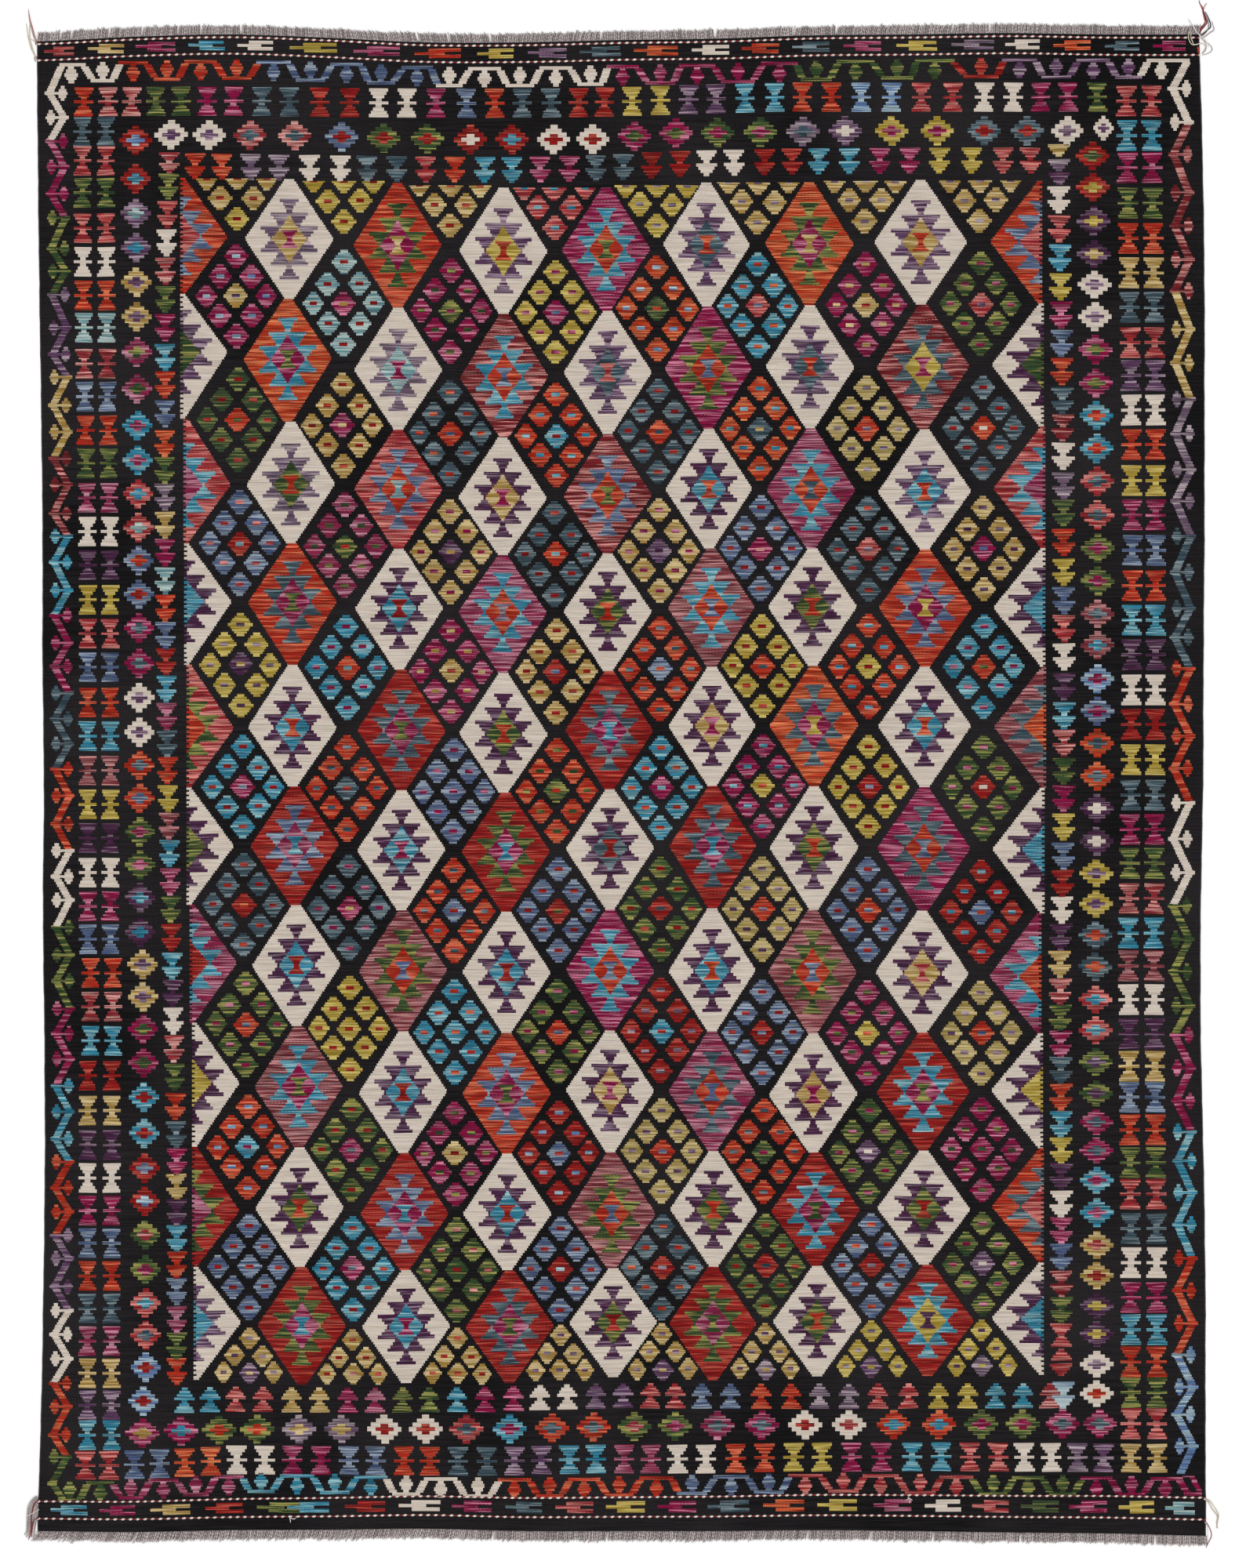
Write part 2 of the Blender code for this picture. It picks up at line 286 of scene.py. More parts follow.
def makeGroundCloth():
    narrow = [inset * mm / cloth["width"] for inset, _ in cloth["selvedge"]]
    inner = np.linspace(narrow[-1], 1 - narrow[-1], cloth["columns"] + 1)[1:-1]
    across = np.array([*narrow, *inner, *(1 - share for share in reversed(narrow))])
    inward = np.minimum(across, 1 - across) * cloth["width"]
    edgeShare = np.interp(inward / mm, *zip(*cloth["selvedge"]))
    along = np.linspace(0, 1, cloth["rows"] + 1)
    bottom, top = bottomEdge(across), topEdge(across)
    y = bottom[:, None] + (top - bottom)[:, None] * along[None, :]
    left, right = leftEdge(y), rightEdge(y)
    turns = cloth["wobbleTurns"]
    wobble = cloth["edgeWobble"] * sum(np.sin(y * turn + start) for turn, start in turns) / len(turns)
    x = (left + wobble) + (right - left) * across[:, None]
    x += (-2 * wobble) * across[:, None]
    z = clothHeight(x, y) * edgeShare[:, None]
    z[:, [0, -1]] *= cloth["endHeight"]
    columns, rows = x.shape
    upper = np.stack([x, y, z], axis=2).reshape(-1, 3)
    lower = upper.copy()
    lower[:, 2] = 0.0
    points = np.concatenate([upper, lower])
    index = np.arange(columns * rows).reshape(columns, rows)
    a, b, c, d = (part.ravel() for part in (index[:-1, :-1], index[1:, :-1], index[1:, 1:], index[:-1, 1:]))
    under = columns * rows
    rim = np.concatenate([index[:-1, 0], index[-1, :-1], index[:0:-1, -1], index[0, :0:-1]])
    following = np.roll(rim, -1)
    faces = np.concatenate([
        np.stack([a, b, c, d], 1),
        np.stack([d, c, b, a], 1) + under,
        np.stack([rim + under, following + under, following, rim], 1),
    ])
    piece = makePiece("groundCloth", points.tolist(), faces.tolist(), [makeGroundWool()])
    flat = (points[faces.ravel()][:, :2] - points[:, :2].min(0)) / cloth["length"]
    isUnder = np.repeat(np.arange(len(faces)) >= len(a), 4)
    size, aside = cloth["underMap"]
    flat[isUnder] *= size
    flat[isUnder, 0] += aside
    giveMap(piece, flat)
    fibres = np.repeat(np.clip(1 - inward / groundWool["edgeWidth"], 0, 1), rows)
    layer = piece.data.attributes.new("edge", "FLOAT", "POINT")
    layer.data.foreach_set("value", np.concatenate([fibres, fibres]))
    return piece


# each dye: dark tone, light tone, share of the light one (hand-dyed yarn changes tone along its length),
# depth of the painted shade of the rows and beads
dyes = {
    "ivory": ((193, 180, 167), (208, 196, 183), 0.6, 0.25),
    "amber": ((166, 50, 24), (214, 122, 80), 0.4, 1.0),
    "flame": ((160, 36, 20), (208, 108, 76), 0.37, 1.0),
    "brick": ((133, 17, 17), (180, 78, 64), 0.34, 1.0),
    "coral": ((144, 36, 42), (206, 128, 120), 0.43, 1.0),
    "rose": ((136, 38, 44), (208, 152, 144), 0.43, 1.0),
    "magenta": ((124, 8, 58), (198, 124, 148), 0.34, 1.0),
    "orchid": ((122, 28, 62), (188, 130, 148), 0.4, 1.0),
    "dusty": ((112, 44, 51), (184, 130, 130), 0.44, 1.0),
    "maroon": ((108, 26, 32), (210, 144, 138), 0.37, 1.0),
    "lilac": ((98, 78, 98), (172, 156, 162), 0.43, 1.0),
    "purple": ((84, 54, 84), (164, 142, 156), 0.41, 1.0),
    "plum": ((68, 32, 62), (134, 112, 128), 0.31, 1.0),
    "blue": ((70, 84, 116), (144, 157, 172), 0.44, 1.0),
    "sky": ((86, 112, 154), (168, 190, 198), 0.45, 0.9),
    "ice": ((120, 142, 160), (172, 190, 193), 0.6, 0.5),
    "steel": ((54, 72, 82), (124, 139, 144), 0.39, 1.0),
    "turquoise": ((44, 120, 146), (138, 180, 186), 0.4, 1.0),
    "aqua": ((96, 136, 144), (172, 190, 184), 0.52, 0.8),
    "gold": ((150, 119, 58), (201, 179, 131), 0.47, 0.6),
    "khaki": ((146, 127, 70), (193, 173, 125), 0.47, 0.6),
    "mustard": ((150, 127, 46), (197, 177, 100), 0.47, 0.6),
    "green": ((46, 68, 38), (150, 147, 80), 0.4, 1.0),
    "forest": ((44, 62, 40), (126, 130, 74), 0.38, 1.0),
}
patternWool = {
    "streakLength": 95 * mm,
    "yarnCycle": 40.0,  # chart steps across, times steps down, that one tone of the yarn covers
    "widestRun": 38.5,  # a wider area changes tone no faster
    "firstYarn": 60,  # a motif starts anywhere in this much yarn
    "skeins": (91.0, 37.0, 53.0),  # sets the streaks of one strand apart from another's
    "contrast": (0.43, 0.585),
    "shareShift": 0.42,  # how far the light tone's share moves the contrast
    # painted shade in the gaps between beads: least and most
    "beadShade": (0.84, 1.1),
    "rowShade": (0.46, 1.17),  # painted shade and light: rows of weft that lie deeper are darker, higher ones lighter
    "rowFrom": (0.36, 0.62),  # where a row is deepest and highest
    "rowTurns": 14.0,  # changes of depth in a metre across
    "rowHeight": 1.9 * mm,
    "fuzz": 0.12,
    "fuzzScale": 900.0,
    "relief": (0.6, 0.4),  # of the streaks and the fuzz, against a bead's height
    "lift": 0.25 * mm,
    "rimDepth": 1.4,  # how deep a motif's rim goes, in lifts
    "mapRows": 3,  # a band's rows on the colour map
    "mapSpare": 0.11,  # m beside them
    "mapGap": 0.004,  # m between them
    "roughness": 0.9,
    "shine": 0.15,
    "sheen": 0.0,
    "bump": (0.6, 0.4 * mm),
}


def makePatternWool():
    n = Nodes("patternWool")
    dark = n.add("Attribute", attribute_name="darkTone").outputs
    light = n.add("Attribute", attribute_name="lightTone").outputs
    # thread: how much yarn has been used, how much goes into a metre of height, and the skein
    thread = n.add("Attribute", attribute_name="thread").outputs["Vector"]
    used, rate, strand = n.add("SeparateXYZ", Vector=thread).outputs
    x, y = n.add("SeparateXYZ", Vector=n.place).outputs[:2]
    bead, beadY = makeBeads(n, x, y)
    skeins = [n.times(strand, apart) for apart in patternWool["skeins"]]
    along = n.plus(n.over(x, patternWool["streakLength"]), skeins[0])
    upward = n.minus(used, n.times(rate, n.minus(beadY, y)))
    streak = n.noise(n.spot(along, upward, skeins[1]), 1.0, 1.0)
    # the light tone's share moves the threshold
    raised = n.plus(streak, n.times(n.minus(light["Alpha"], 0.5), patternWool["shareShift"]))
    mixed = n.blend(n.fit(raised, *patternWool["contrast"]), dark["Color"], light["Color"])
    rowY = n.over(beadY, patternWool["rowHeight"])
    lie = n.noise(n.spot(n.times(x, patternWool["rowTurns"]), rowY, skeins[2]), 1.0, 0.0)
    # painted shade and light: deeper rows and the gaps between beads are darker, higher rows lighter; the
    # dark tone's alpha sets how strong
    rowShade = n.fit(lie, *patternWool["rowFrom"], *patternWool["rowShade"])
    deep = n.times(rowShade, n.fit(bead, 0.0, 1.0, *patternWool["beadShade"]))
    deep = n.plus(1.0, n.times(dark["Alpha"], n.minus(deep, 1.0)))
    fuzz = n.noise(n.place, patternWool["fuzzScale"], 2.0)
    fuzzShade = n.fit(fuzz, *noiseSpan, 1 - patternWool["fuzz"], 1 + patternWool["fuzz"])
    streakRelief, fuzzRelief = patternWool["relief"]
    height = n.plus(n.plus(bead, n.times(streak, streakRelief)), n.times(fuzz, fuzzRelief))
    return n.finish(n.shaded(mixed, n.times(fuzzShade, deep)), patternWool, height)


# The chart counts across and down in steps of one weft bundle.
chart = {
    "corner": (47, 41),  # where the cloth's top left corner stands
    "size": (1491, 1919),  # steps across and down the cloth
    "tilt": 0.024,  # how far a motif's rows may slope
    "lean": 0.035,  # how far a motif may lean
    "rough": 0.42,  # unevenness of each row's ends, in steps
    "slantHeight": 3.2,  # a row of a slanting stroke
    "slantRough": 0.4,
    "heartHeight": 0.37,  # a heart in a motif, as a share of its height
    "leastRow": 0.12,  # a lower row isn't woven
    "leastSpan": 0.15,  # nor is a narrower span
    "rowsTouch": 0.13,
    "spansTouch": 0.01,
    "far": 1e4,  # past any edge
    "bands": 9,
    "seed": 11,
}
chance = random.Random(chart["seed"])
dyeNames = list(dyes)
# rows of one colour: left, right, top, bottom, dye, strand, tilt, pivot, yarn used above and below, rate
patches = []
# outline edges of the motifs: start and end across and down, and from the dye on the same values
walls = []


def chartX(steps):
    return clothLow[0] + (steps - chart["corner"][0]) * clothWide / chart["size"][0]


def chartY(steps):
    return clothHigh[1] - (steps - chart["corner"][1]) * clothTall / chart["size"][1]


def stepsX(x):
    return chart["corner"][0] + (x - clothLow[0]) / clothWide * chart["size"][0]


def stepsY(y):
    return chart["corner"][1] + (clothHigh[1] - y) / clothTall * chart["size"][1]


def only(left=-chart["far"], right=chart["far"], top=-chart["far"], bottom=chart["far"]):
    # the part of the chart in which a motif is woven
    return left, right, top, bottom


def rowsFrom(middle, top, rows, wide=1.0, tall=1.0):
    # (height, half width) rows from the top down, as (top, bottom, left, right)
    made, y, rough = [], top, chart["rough"]
    for height, half in rows:
        left = middle - half * wide + chance.uniform(-rough, rough)
        right = middle + half * wide + chance.uniform(-rough, rough)
        made.append((y, y + height * tall, left, right))
        y += height * tall
    return made


def rowsAbout(middle, centre, outward, wide=1.0, tall=1.0):
    # rows given from the centre line outwards, mirrored up and down
    rows = list(reversed(outward)) + list(outward)
    return rowsFrom(middle, centre - sum(h for h, _ in outward) * tall, rows, wide, tall)


def centred(middle, centre, rows, wide, height):
    total = sum(h for h, _ in rows)
    tall = height / total
    return rowsFrom(middle, centre - total * tall / 2, rows, wide, tall)


def laidOver(spans, left, right, dye):
    # the spans of a row after a new one covers part of them; a span of no dye only clears
    kept = []
    for a, b, was in spans:
        if b <= left or a >= right:
            kept.append((a, b, was))
            continue
        if a < left:
            kept.append((a, left, was))
        if b > right:
            kept.append((right, b, was))
    if dye:
        kept.append((left, right, dye))
    return sorted(span for span in kept if span[1] - span[0] > chart["leastSpan"])


def joined(spans, anyDye=False):
    # touching spans of one colour become one; anyDye gives the outline of them all
    made = []
    for a, b, dye in spans:
        if made and a - made[-1][1] < chart["spansTouch"] and (anyDye or made[-1][2] == dye):
            made[-1] = (made[-1][0], b, dye)
        else:
            made.append((a, b, dye))
    return made


def bare(span, runs):
    # the parts of a span that no run covers
    left = [(span[0], span[1])]
    for a, b, _ in runs:
        cut = [part for start, end in left for part in ((start, min(end, a)), (max(start, b), end))]
        left = [part for part in cut if part[1] - part[0] > chart["spansTouch"]]
    return left


def weave(layers, pivot, clip=only(), tilts=1.0):
    # layers are (dye, rows) from the lowest up
    strand, tilt = chance.random(), chance.uniform(-1, 1) * chart["tilt"] * tilts
    used = {}  # yarn used so far in each area of a colour
    levels = [level for _, rows in layers for row in rows for level in row[:2]]
    lines = sorted({round(min(max(level, clip[2]), clip[3]), 2) for level in levels})
    woven = []
    for top, bottom in zip(lines, lines[1:]):
        if bottom - top < chart["leastRow"]:
            continue
        spans, at = [], (top + bottom) / 2
        for dye, rows in layers:
            for y0, y1, x0, x1 in rows:
                if y0 <= at < y1:
                    left, right = max(x0, clip[0]), min(x1, clip[1])
                    if right > left:
                        spans = laidOver(spans, left, right, dye)
        spans = joined(spans)
        woven.append((top, bottom, spans, joined(spans, anyDye=True)))
    for k, (top, bottom, spans, runs) in enumerate(woven):
        above = below = []
        if k and abs(woven[k - 1][1] - top) < chart["rowsTouch"]:
            above = woven[k - 1][3]
        if k + 1 < len(woven) and abs(woven[k + 1][0] - bottom) < chart["rowsTouch"]:
            below = woven[k + 1][3]
        if above:
            top = woven[k - 1][1]
        starts, ends = {run[0] for run in runs}, {run[1] for run in runs}
        seen = []
        for a, b, dye in spans:
            seen.append(dye)
            area = (dye, seen.count(dye))
            rate = min(b - a, patternWool["widestRun"]) / patternWool["yarnCycle"]
            start = used.get(area, chance.uniform(0, patternWool["firstYarn"]))
            used[area] = end = start + (bottom - top) * rate
            mark = (dyeNames.index(dye), strand, tilt, pivot)
            patches.append((a, b, top, bottom, *mark, start, end, rate))
            if a in starts:
                walls.append((a, top, a, bottom, *mark, start, end, rate))
            if b in ends:
                walls.append((b, bottom, b, top, *mark, end, start, rate))
            walls.extend((e, top, s, top, *mark, start, start, rate) for s, e in bare((a, b), above))
            walls.extend((s, bottom, e, bottom, *mark, end, end, rate) for s, e in bare((a, b), below))


def readChart(text):
    # places followed by the dye that they share
    marks, places = [], []
    for word in text.split():
        if word[0].isdigit():
            places.append(float(word))
        else:
            marks += [(place, word) for place in places]
            places = []
    return marks


def readPoints(text):
    # "x y, x y" as pairs of numbers
    return [tuple(float(word) for word in point.split()) for point in text.split(",")]


def readLine(text, at):
    # the height of a line of points at one place
    return float(np.interp(at, *zip(*readPoints(text))))


def dyeAt(ranges, at):
    return [dye for start, dye in ranges if start <= at or start == ranges[0][0]][-1]


# motif rows as (height, half width) in steps
motifs = {
    "hourglass": ((4.2, 12.4), (4, 10.2), (4.2, 7.2), (4, 3.9), (3.6, 12.6), (4, 3.9), (4.2, 7.2),
                  (4, 10.2), (4.2, 12.4)),
    "rhombus": ((5, 4), (4.8, 9.5), (5.4, 15), (6, 19.2), (5.2, 15), (5, 9.7), (5.2, 4.2)),
    "heart": ((4.4, 4.6), (4.8, 10.6), (4.4, 4.6)),
    "chalice": ((4.2, 12.8), (4.3, 10.1), (4.3, 6.6), (4.6, 3.6), (4.2, 12.9), (4.3, 10.1), (4.2, 7.2),
                (4.4, 3.6)),
    "cup": ((4.2, 12.8), (4.3, 10.1), (4.3, 6.8), (3.6, 3.8)),
    "flower": ((4, 4.5), (3.2, 7.6), (3.2, 10.4), (3.1, 12.3), (4.7, 15.4), (3.1, 12.3), (3.2, 10.4),
               (3.2, 7.8), (3.9, 4.6)),
    "bud": ((4.6, 3.6), (3.6, 6.4), (5, 8.6), (4.6, 6.2), (3.8, 3.7)),
    "leaf": ((4.4, 2.5), (4.2, 5), (3.6, 6.6), (4.4, 4.6), (3.4, 2.3)),
    # from the centre line outwards
    "medallion": ((3.2, 24.2), (4, 27.5), (4.5, 31), (5.3, 36.3), (4, 14.7), (4.5, 16.8), (4.5, 20.5),
                  (4.3, 23.8),
                  (4.7, 3.6), (4.4, 5.4), (4.6, 8), (4.5, 12.3)),
    "kernel": ((3.6, 21.6), (3.4, 18.6), (3.4, 15.9), (3.4, 13.2), (3.4, 10.6), (3.4, 8), (3.4, 5.6),
               (3.4, 3.6), (3, 1.9)),
    "glass": ((3, 3.4), (2.6, 4.8), (2.8, 7.2), (3.2, 10)),
}

# the field: nine columns of diamonds, as each one's middle across and down, from the top
field = {
    "across": (
        (230, 230, 234, 235, 238, 238, 242, 245, 245, 247),
        (369, 367, 371, 373, 373, 376, 378, 381, 382, 385),
        (507, 508, 508, 509, 512, 512, 514, 514, 516, 518),
        (642, 643, 641, 641, 642, 645, 646, 646, 647, 650),
        (773, 775, 775, 775, 777, 778, 778, 778, 780, 782),
        (901, 903, 904, 907, 908, 909, 908, 908, 910, 909),
        (1032, 1033, 1034, 1036, 1038, 1038, 1036, 1037, 1040, 1042),
        (1174, 1177, 1179, 1180, 1179, 1178, 1176, 1177, 1178, 1183),
        (1329, 1331, 1333, 1333, 1334, 1332, 1328, 1330, 1331, 1331),
    ),
    "down": (
        (301, 449, 619, 767, 929, 1080, 1228, 1381, 1544, 1688),
        (305, 458, 618, 768, 928, 1078, 1231, 1386, 1541, 1691),
        (313, 472, 624, 776, 932, 1084, 1238, 1393, 1548, 1692),
        (320, 481, 635, 781, 936, 1086, 1240, 1395, 1548, 1692),
        (318, 475, 632, 780, 932, 1082, 1238, 1391, 1548, 1687),
        (312, 470, 624, 775, 926, 1079, 1238, 1393, 1543, 1688),
        (311, 468, 625, 774, 925, 1081, 1240, 1396, 1544, 1685),
        (309, 468, 627, 775, 926, 1082, 1241, 1393, 1542, 1684),
        (309, 465, 623, 775, 926, 1084, 1246, 1390, 1539, 1682),
    ),
    "half": (60.5, 56.6, 56.4, 56.6, 56.4, 55.6, 56.8, 59.5, 66.5),
    "inner": (1.12, 1, 1, 1, 1, 1, 1, 1.04, 1.3),  # the medallion's width in each column
    "usualHeight": 156,  # of the diamond that the medallion is drawn for
    "tip": 5.5,
    "stepHeight": 3.1,
    "comb": (3.6, 2.5, 6.1),  # teeth along the field's sides: depth, height, pitch
    "combRough": (0.7, 0.4),  # unevenness of the depth and the pitch
    # body/medallion/kernel/glass, nine words for each row
    "diamonds": """
    flame/blue/coral ivory/lilac/gold/magenta flame/green/magenta/gold ivory/purple/mustard/flame
        magenta/turquoise/flame/green ivory/purple/steel/flame amber/green/magenta/gold
        ivory/purple/gold/flame flame/blue/coral
    ivory/purple/green amber/turquoise/magenta/green ivory/lilac/aqua/magenta maroon/turquoise/flame/blue
        ivory/purple/steel/coral magenta/green/flame/blue ivory/purple/steel/flame
        maroon/steel/mustard/magenta ivory/plum/green
    coral/turquoise/orchid ivory/lilac/green/flame coral/blue/flame/aqua ivory/plum/gold/magenta
        maroon/blue/flame/green ivory/plum/turquoise/flame orchid/turquoise/flame/steel
        ivory/purple/turquoise/flame coral/turquoise/orchid
    ivory/plum/turquoise flame/steel/magenta/green ivory/plum/turquoise/brick orchid/turquoise/flame/lilac
        ivory/plum/green/flame dusty/turquoise/flame/blue ivory/plum/green/flame flame/blue/magenta/mustard
        ivory/plum/turquoise
    coral/green/flame ivory/plum/turquoise/flame brick/steel/magenta/green ivory/plum/green/flame
        brick/steel/magenta/turquoise ivory/plum/gold/magenta amber/steel/magenta/mustard
        ivory/plum/turquoise/flame dusty/steel/amber
    ivory/plum/green brick/blue/orchid/turquoise ivory/plum/turquoise/magenta brick/green/magenta/turquoise
        ivory/plum/steel/brick brick/steel/magenta/turquoise ivory/plum/green/flame magenta/steel/flame/blue
        ivory/plum/turquoise
    orchid/turquoise/brick ivory/plum/turquoise/brick dusty/green/flame/blue ivory/plum/turquoise/brick
        magenta/turquoise/flame/blue ivory/plum/turquoise/amber dusty/green/flame/blue ivory/plum/gold/coral
        orchid/turquoise/flame
    ivory/plum/mustard dusty/turquoise/magenta/green ivory/plum/turquoise/brick flame/blue/magenta/green
        ivory/plum/gold/magenta orchid/steel/flame/blue ivory/plum/gold/magenta
        brick/turquoise/magenta/green ivory/plum/mustard
    brick/green/orchid ivory/plum/green/flame brick/blue/magenta/turquoise ivory/plum/turquoise/brick
        dusty/green/flame/blue ivory/plum/green/flame brick/turquoise/magenta/green ivory/plum/green/brick
        flame/steel/coral
    ivory/purple/turquoise brick/green/magenta/turquoise ivory/plum/turquoise/magenta
        brick/steel/magenta/green ivory/plum/green/brick brick/green/orchid/green ivory/plum/green/flame
        brick/turquoise/mustard/plum ivory/plum/turquoise
    """,
    # flower/its eye+middle flower/its eye, eight words for each row
    "flowers": """
    gold/brick+mustard/brick mustard/brick+mustard/brick gold/brick+gold/brick
        coral/turquoise+coral/turquoise mustard/lilac+mustard/lilac gold/lilac+gold/lilac
        gold/lilac+gold/lilac gold/lilac+gold/lilac
    magenta/sky+gold/purple aqua/brick+magenta/gold magenta/green+green/magenta mustard/magenta+magenta/blue
        amber/sky+forest/amber turquoise/amber+coral/blue magenta/gold+gold/brick green/magenta+coral/purple
    forest/brick+flame/green gold/brick+magenta/gold steel/flame+flame/blue flame/turquoise+turquoise/brick
        steel/brick+flame/steel amber/turquoise+steel/gold khaki/lilac+flame/lilac steel/brick+flame/ivory
    blue/coral+brick/aqua orchid/green+green/flame gold/magenta+plum/gold steel/brick+flame/aqua
        gold/magenta+purple/plum blue/brick+magenta/rose steel/brick+coral/lilac gold/plum+magenta/blue
    mustard/purple+plum/gold turquoise/magenta+flame/aqua magenta/gold+gold/brick gold/brick+brick/blue
        flame/steel+blue/flame mustard/brick+flame/steel flame/turquoise+mustard/brick
        turquoise/magenta+flame/green
    turquoise/brick+magenta/blue flame/steel+steel/brick blue/magenta+blue/magenta flame/green+green/flame
        turquoise/flame+magenta/turquoise magenta/turquoise+mustard/flame mustard/brick+brick/blue
        green/magenta+brick/ivory
    steel/brick+brick/amber steel/magenta+magenta/gold flame/steel+blue/brick blue/brick+brick/green
        green/brick+brick/steel khaki/purple+flame/lilac blue/brick+flame/blue brick/turquoise+blue/amber
    green/magenta+flame/blue mustard/brick+mustard/flame turquoise/flame+turquoise/flame
        green/magenta+flame/blue brick/lilac+turquoise/brick blue/brick+brick/sky
        magenta/green+mustard/flame khaki/purple+flame/blue
    flame/sky+turquoise/magenta green/brick+magenta/steel magenta/green+gold/brick brick/sky+blue/brick
        khaki/purple+flame/blue flame/steel+forest/magenta green/magenta+purple/ivory
        magenta/green+magenta/green
    blue/brick+blue/brick turquoise/brick+magenta/steel green/rose+green/brick blue/brick+brick/sky
        steel/flame+brick/lilac green/brick+brick/steel blue/flame+brick/lilac green/magenta+purple/ivory
    gold/purple+purple/gold gold/brick+gold/rose gold/brick+gold/brick gold/purple+gold/lilac
        gold/purple+purple/gold gold/purple+lilac/gold mustard/lilac+purple/mustard
        mustard/purple+lilac/mustard
    """,
    "flowerHeight": 30.2,
    "flowerWide": (0.96, 1.04),  # least and most
    "flowerTall": (0.97, 1.03),
    "eye": (2.5, 2.4, 5.1),  # above, below, half width
    "gapShift": {0: 2.5, 7: -2},  # the outer groups stand off the middle of their gap
    "middleFlower": {"top": 7, "usual": 8},  # its number in the places below
    "bottomGroup": {"near": 0.86, "up": 12, "narrow": 0.84, "low": 0.9},  # drawn together and up
    # each flower's place in its group and its width
    "places": (
        (0, -52, 1.02), (-20.5, -25.5, 0.97), (20.5, -25.5, 0.97), (-38.5, 0, 0.9), (38.5, 0, 0.9),
        (-20.5, 25, 0.97), (20.5, 25, 0.97), (0, 51.5, 1.02), (0, 0, 1.02),
    ),
}


def junctions(downs):
    # where the diamonds of a column touch: halfway between their middles, and as far again past the ends
    between = [(a + b) / 2 for a, b in zip(downs, downs[1:])]
    return [2 * downs[0] - between[0], *between, 2 * downs[-1] - between[-1]]


def diamondBody(middle, top, centre, bottom, half):
    made, tip = [], field["tip"]
    for start, end, grows in ((top, centre, True), (centre, bottom, False)):
        count = round((end - start) / field["stepHeight"])
        rows = []
        for k in range(count):
            share = (k + 0.5) / count if grows else 1 - (k + 0.5) / count
            rows.append(((end - start) / count, tip + (half - tip) * share))
        made += rowsFrom(middle, start, rows)
    return made


def combTeeth(edge, inward, top, bottom):
    depth, height, pitch = field["comb"]
    roughDepth, roughPitch = field["combRough"]
    made, y = [], top + pitch / 2
    while y < bottom - height:
        deep = depth + chance.uniform(-roughDepth, roughDepth)
        made.append((y, y + height, min(edge, edge + inward * deep), max(edge, edge + inward * deep)))
        y += pitch + chance.uniform(-roughPitch, roughPitch)
    return made


def weaveDiamonds():
    words = field["diamonds"].split()
    count = len(field["across"])
    for column, (acrossPlaces, downPlaces) in enumerate(zip(field["across"], field["down"])):
        touch = junctions(downPlaces)
        wide = field["inner"][column]
        for row, (middle, centre) in enumerate(zip(acrossPlaces, downPlaces)):
            top, bottom = touch[row:row + 2]
            tall = (bottom - top) / field["usualHeight"]
            body, medallion, kernel, *glass = words[row * count + column].split("/")
            layers = [
                (body, diamondBody(middle, top, centre, bottom, field["half"][column])),
                (medallion, rowsAbout(middle, centre, motifs["medallion"], wide, tall)),
                (kernel, rowsAbout(middle, centre, motifs["kernel"], wide, tall)),
            ]
            if glass:
                layers.append((glass[0], rowsAbout(middle, centre, motifs["glass"], 1.0, tall)))
            clip = only()
            # the first and the last column are half diamonds with teeth along the cut
            if column == 0:
                clip = only(left=middle)
                layers.append((None, combTeeth(middle, 1, top, bottom)))
            if column == count - 1:
                clip = only(right=middle)
                layers.append((None, combTeeth(middle, -1, top, bottom)))
            weave(layers, middle, clip)


def weaveFlower(middle, centre, colours, wide, tall, clip):
    petal, eye = colours.split("/")
    flowerWide = wide * chance.uniform(*field["flowerWide"])
    flowerTall = field["flowerHeight"] * tall * chance.uniform(*field["flowerTall"])
    rows = centred(middle, centre, motifs["flower"], flowerWide, flowerTall)
    above, below, half = field["eye"]
    dot = [(centre - above * tall, centre + below * tall, middle - half * wide, middle + half * wide)]
    weave([(petal, rows), (eye, dot)], middle, clip)


def weaveFlowers():
    touch = [junctions(downs) for downs in field["down"]]
    last = len(touch[0]) - 1
    small = field["bottomGroup"]
    for number, word in enumerate(field["flowers"].split()):
        row, gap = divmod(number, len(touch) - 1)
        at = min(row, last - 1)
        leftX, rightX = field["across"][gap][max(at - 1, 0)], field["across"][gap + 1][at]
        middle = (leftX + rightX) / 2 + field["gapShift"].get(gap, 0)
        centre = (touch[gap][row] + touch[gap + 1][row]) / 2
        outer, inner = word.split("+")
        heart = field["middleFlower"]["usual" if row else "top"]
        clip = only(top=centre) if row == 0 else only()
        for index, (dx, dy, wide) in enumerate(field["places"]):
            if row == 0 and dy < 0 or row == last and dy > 0:
                continue
            tall = 1.0
            if row == last:
                dy = dy * small["near"] - small["up"]
                dx, wide, tall = dx * small["narrow"], wide * small["narrow"], small["low"]
            x = middle + dx + chance.uniform(-1, 1)
            y = centre + dy + chance.uniform(-1, 1)
            weaveFlower(x, y, inner if index == heart else outer, wide, tall, clip)


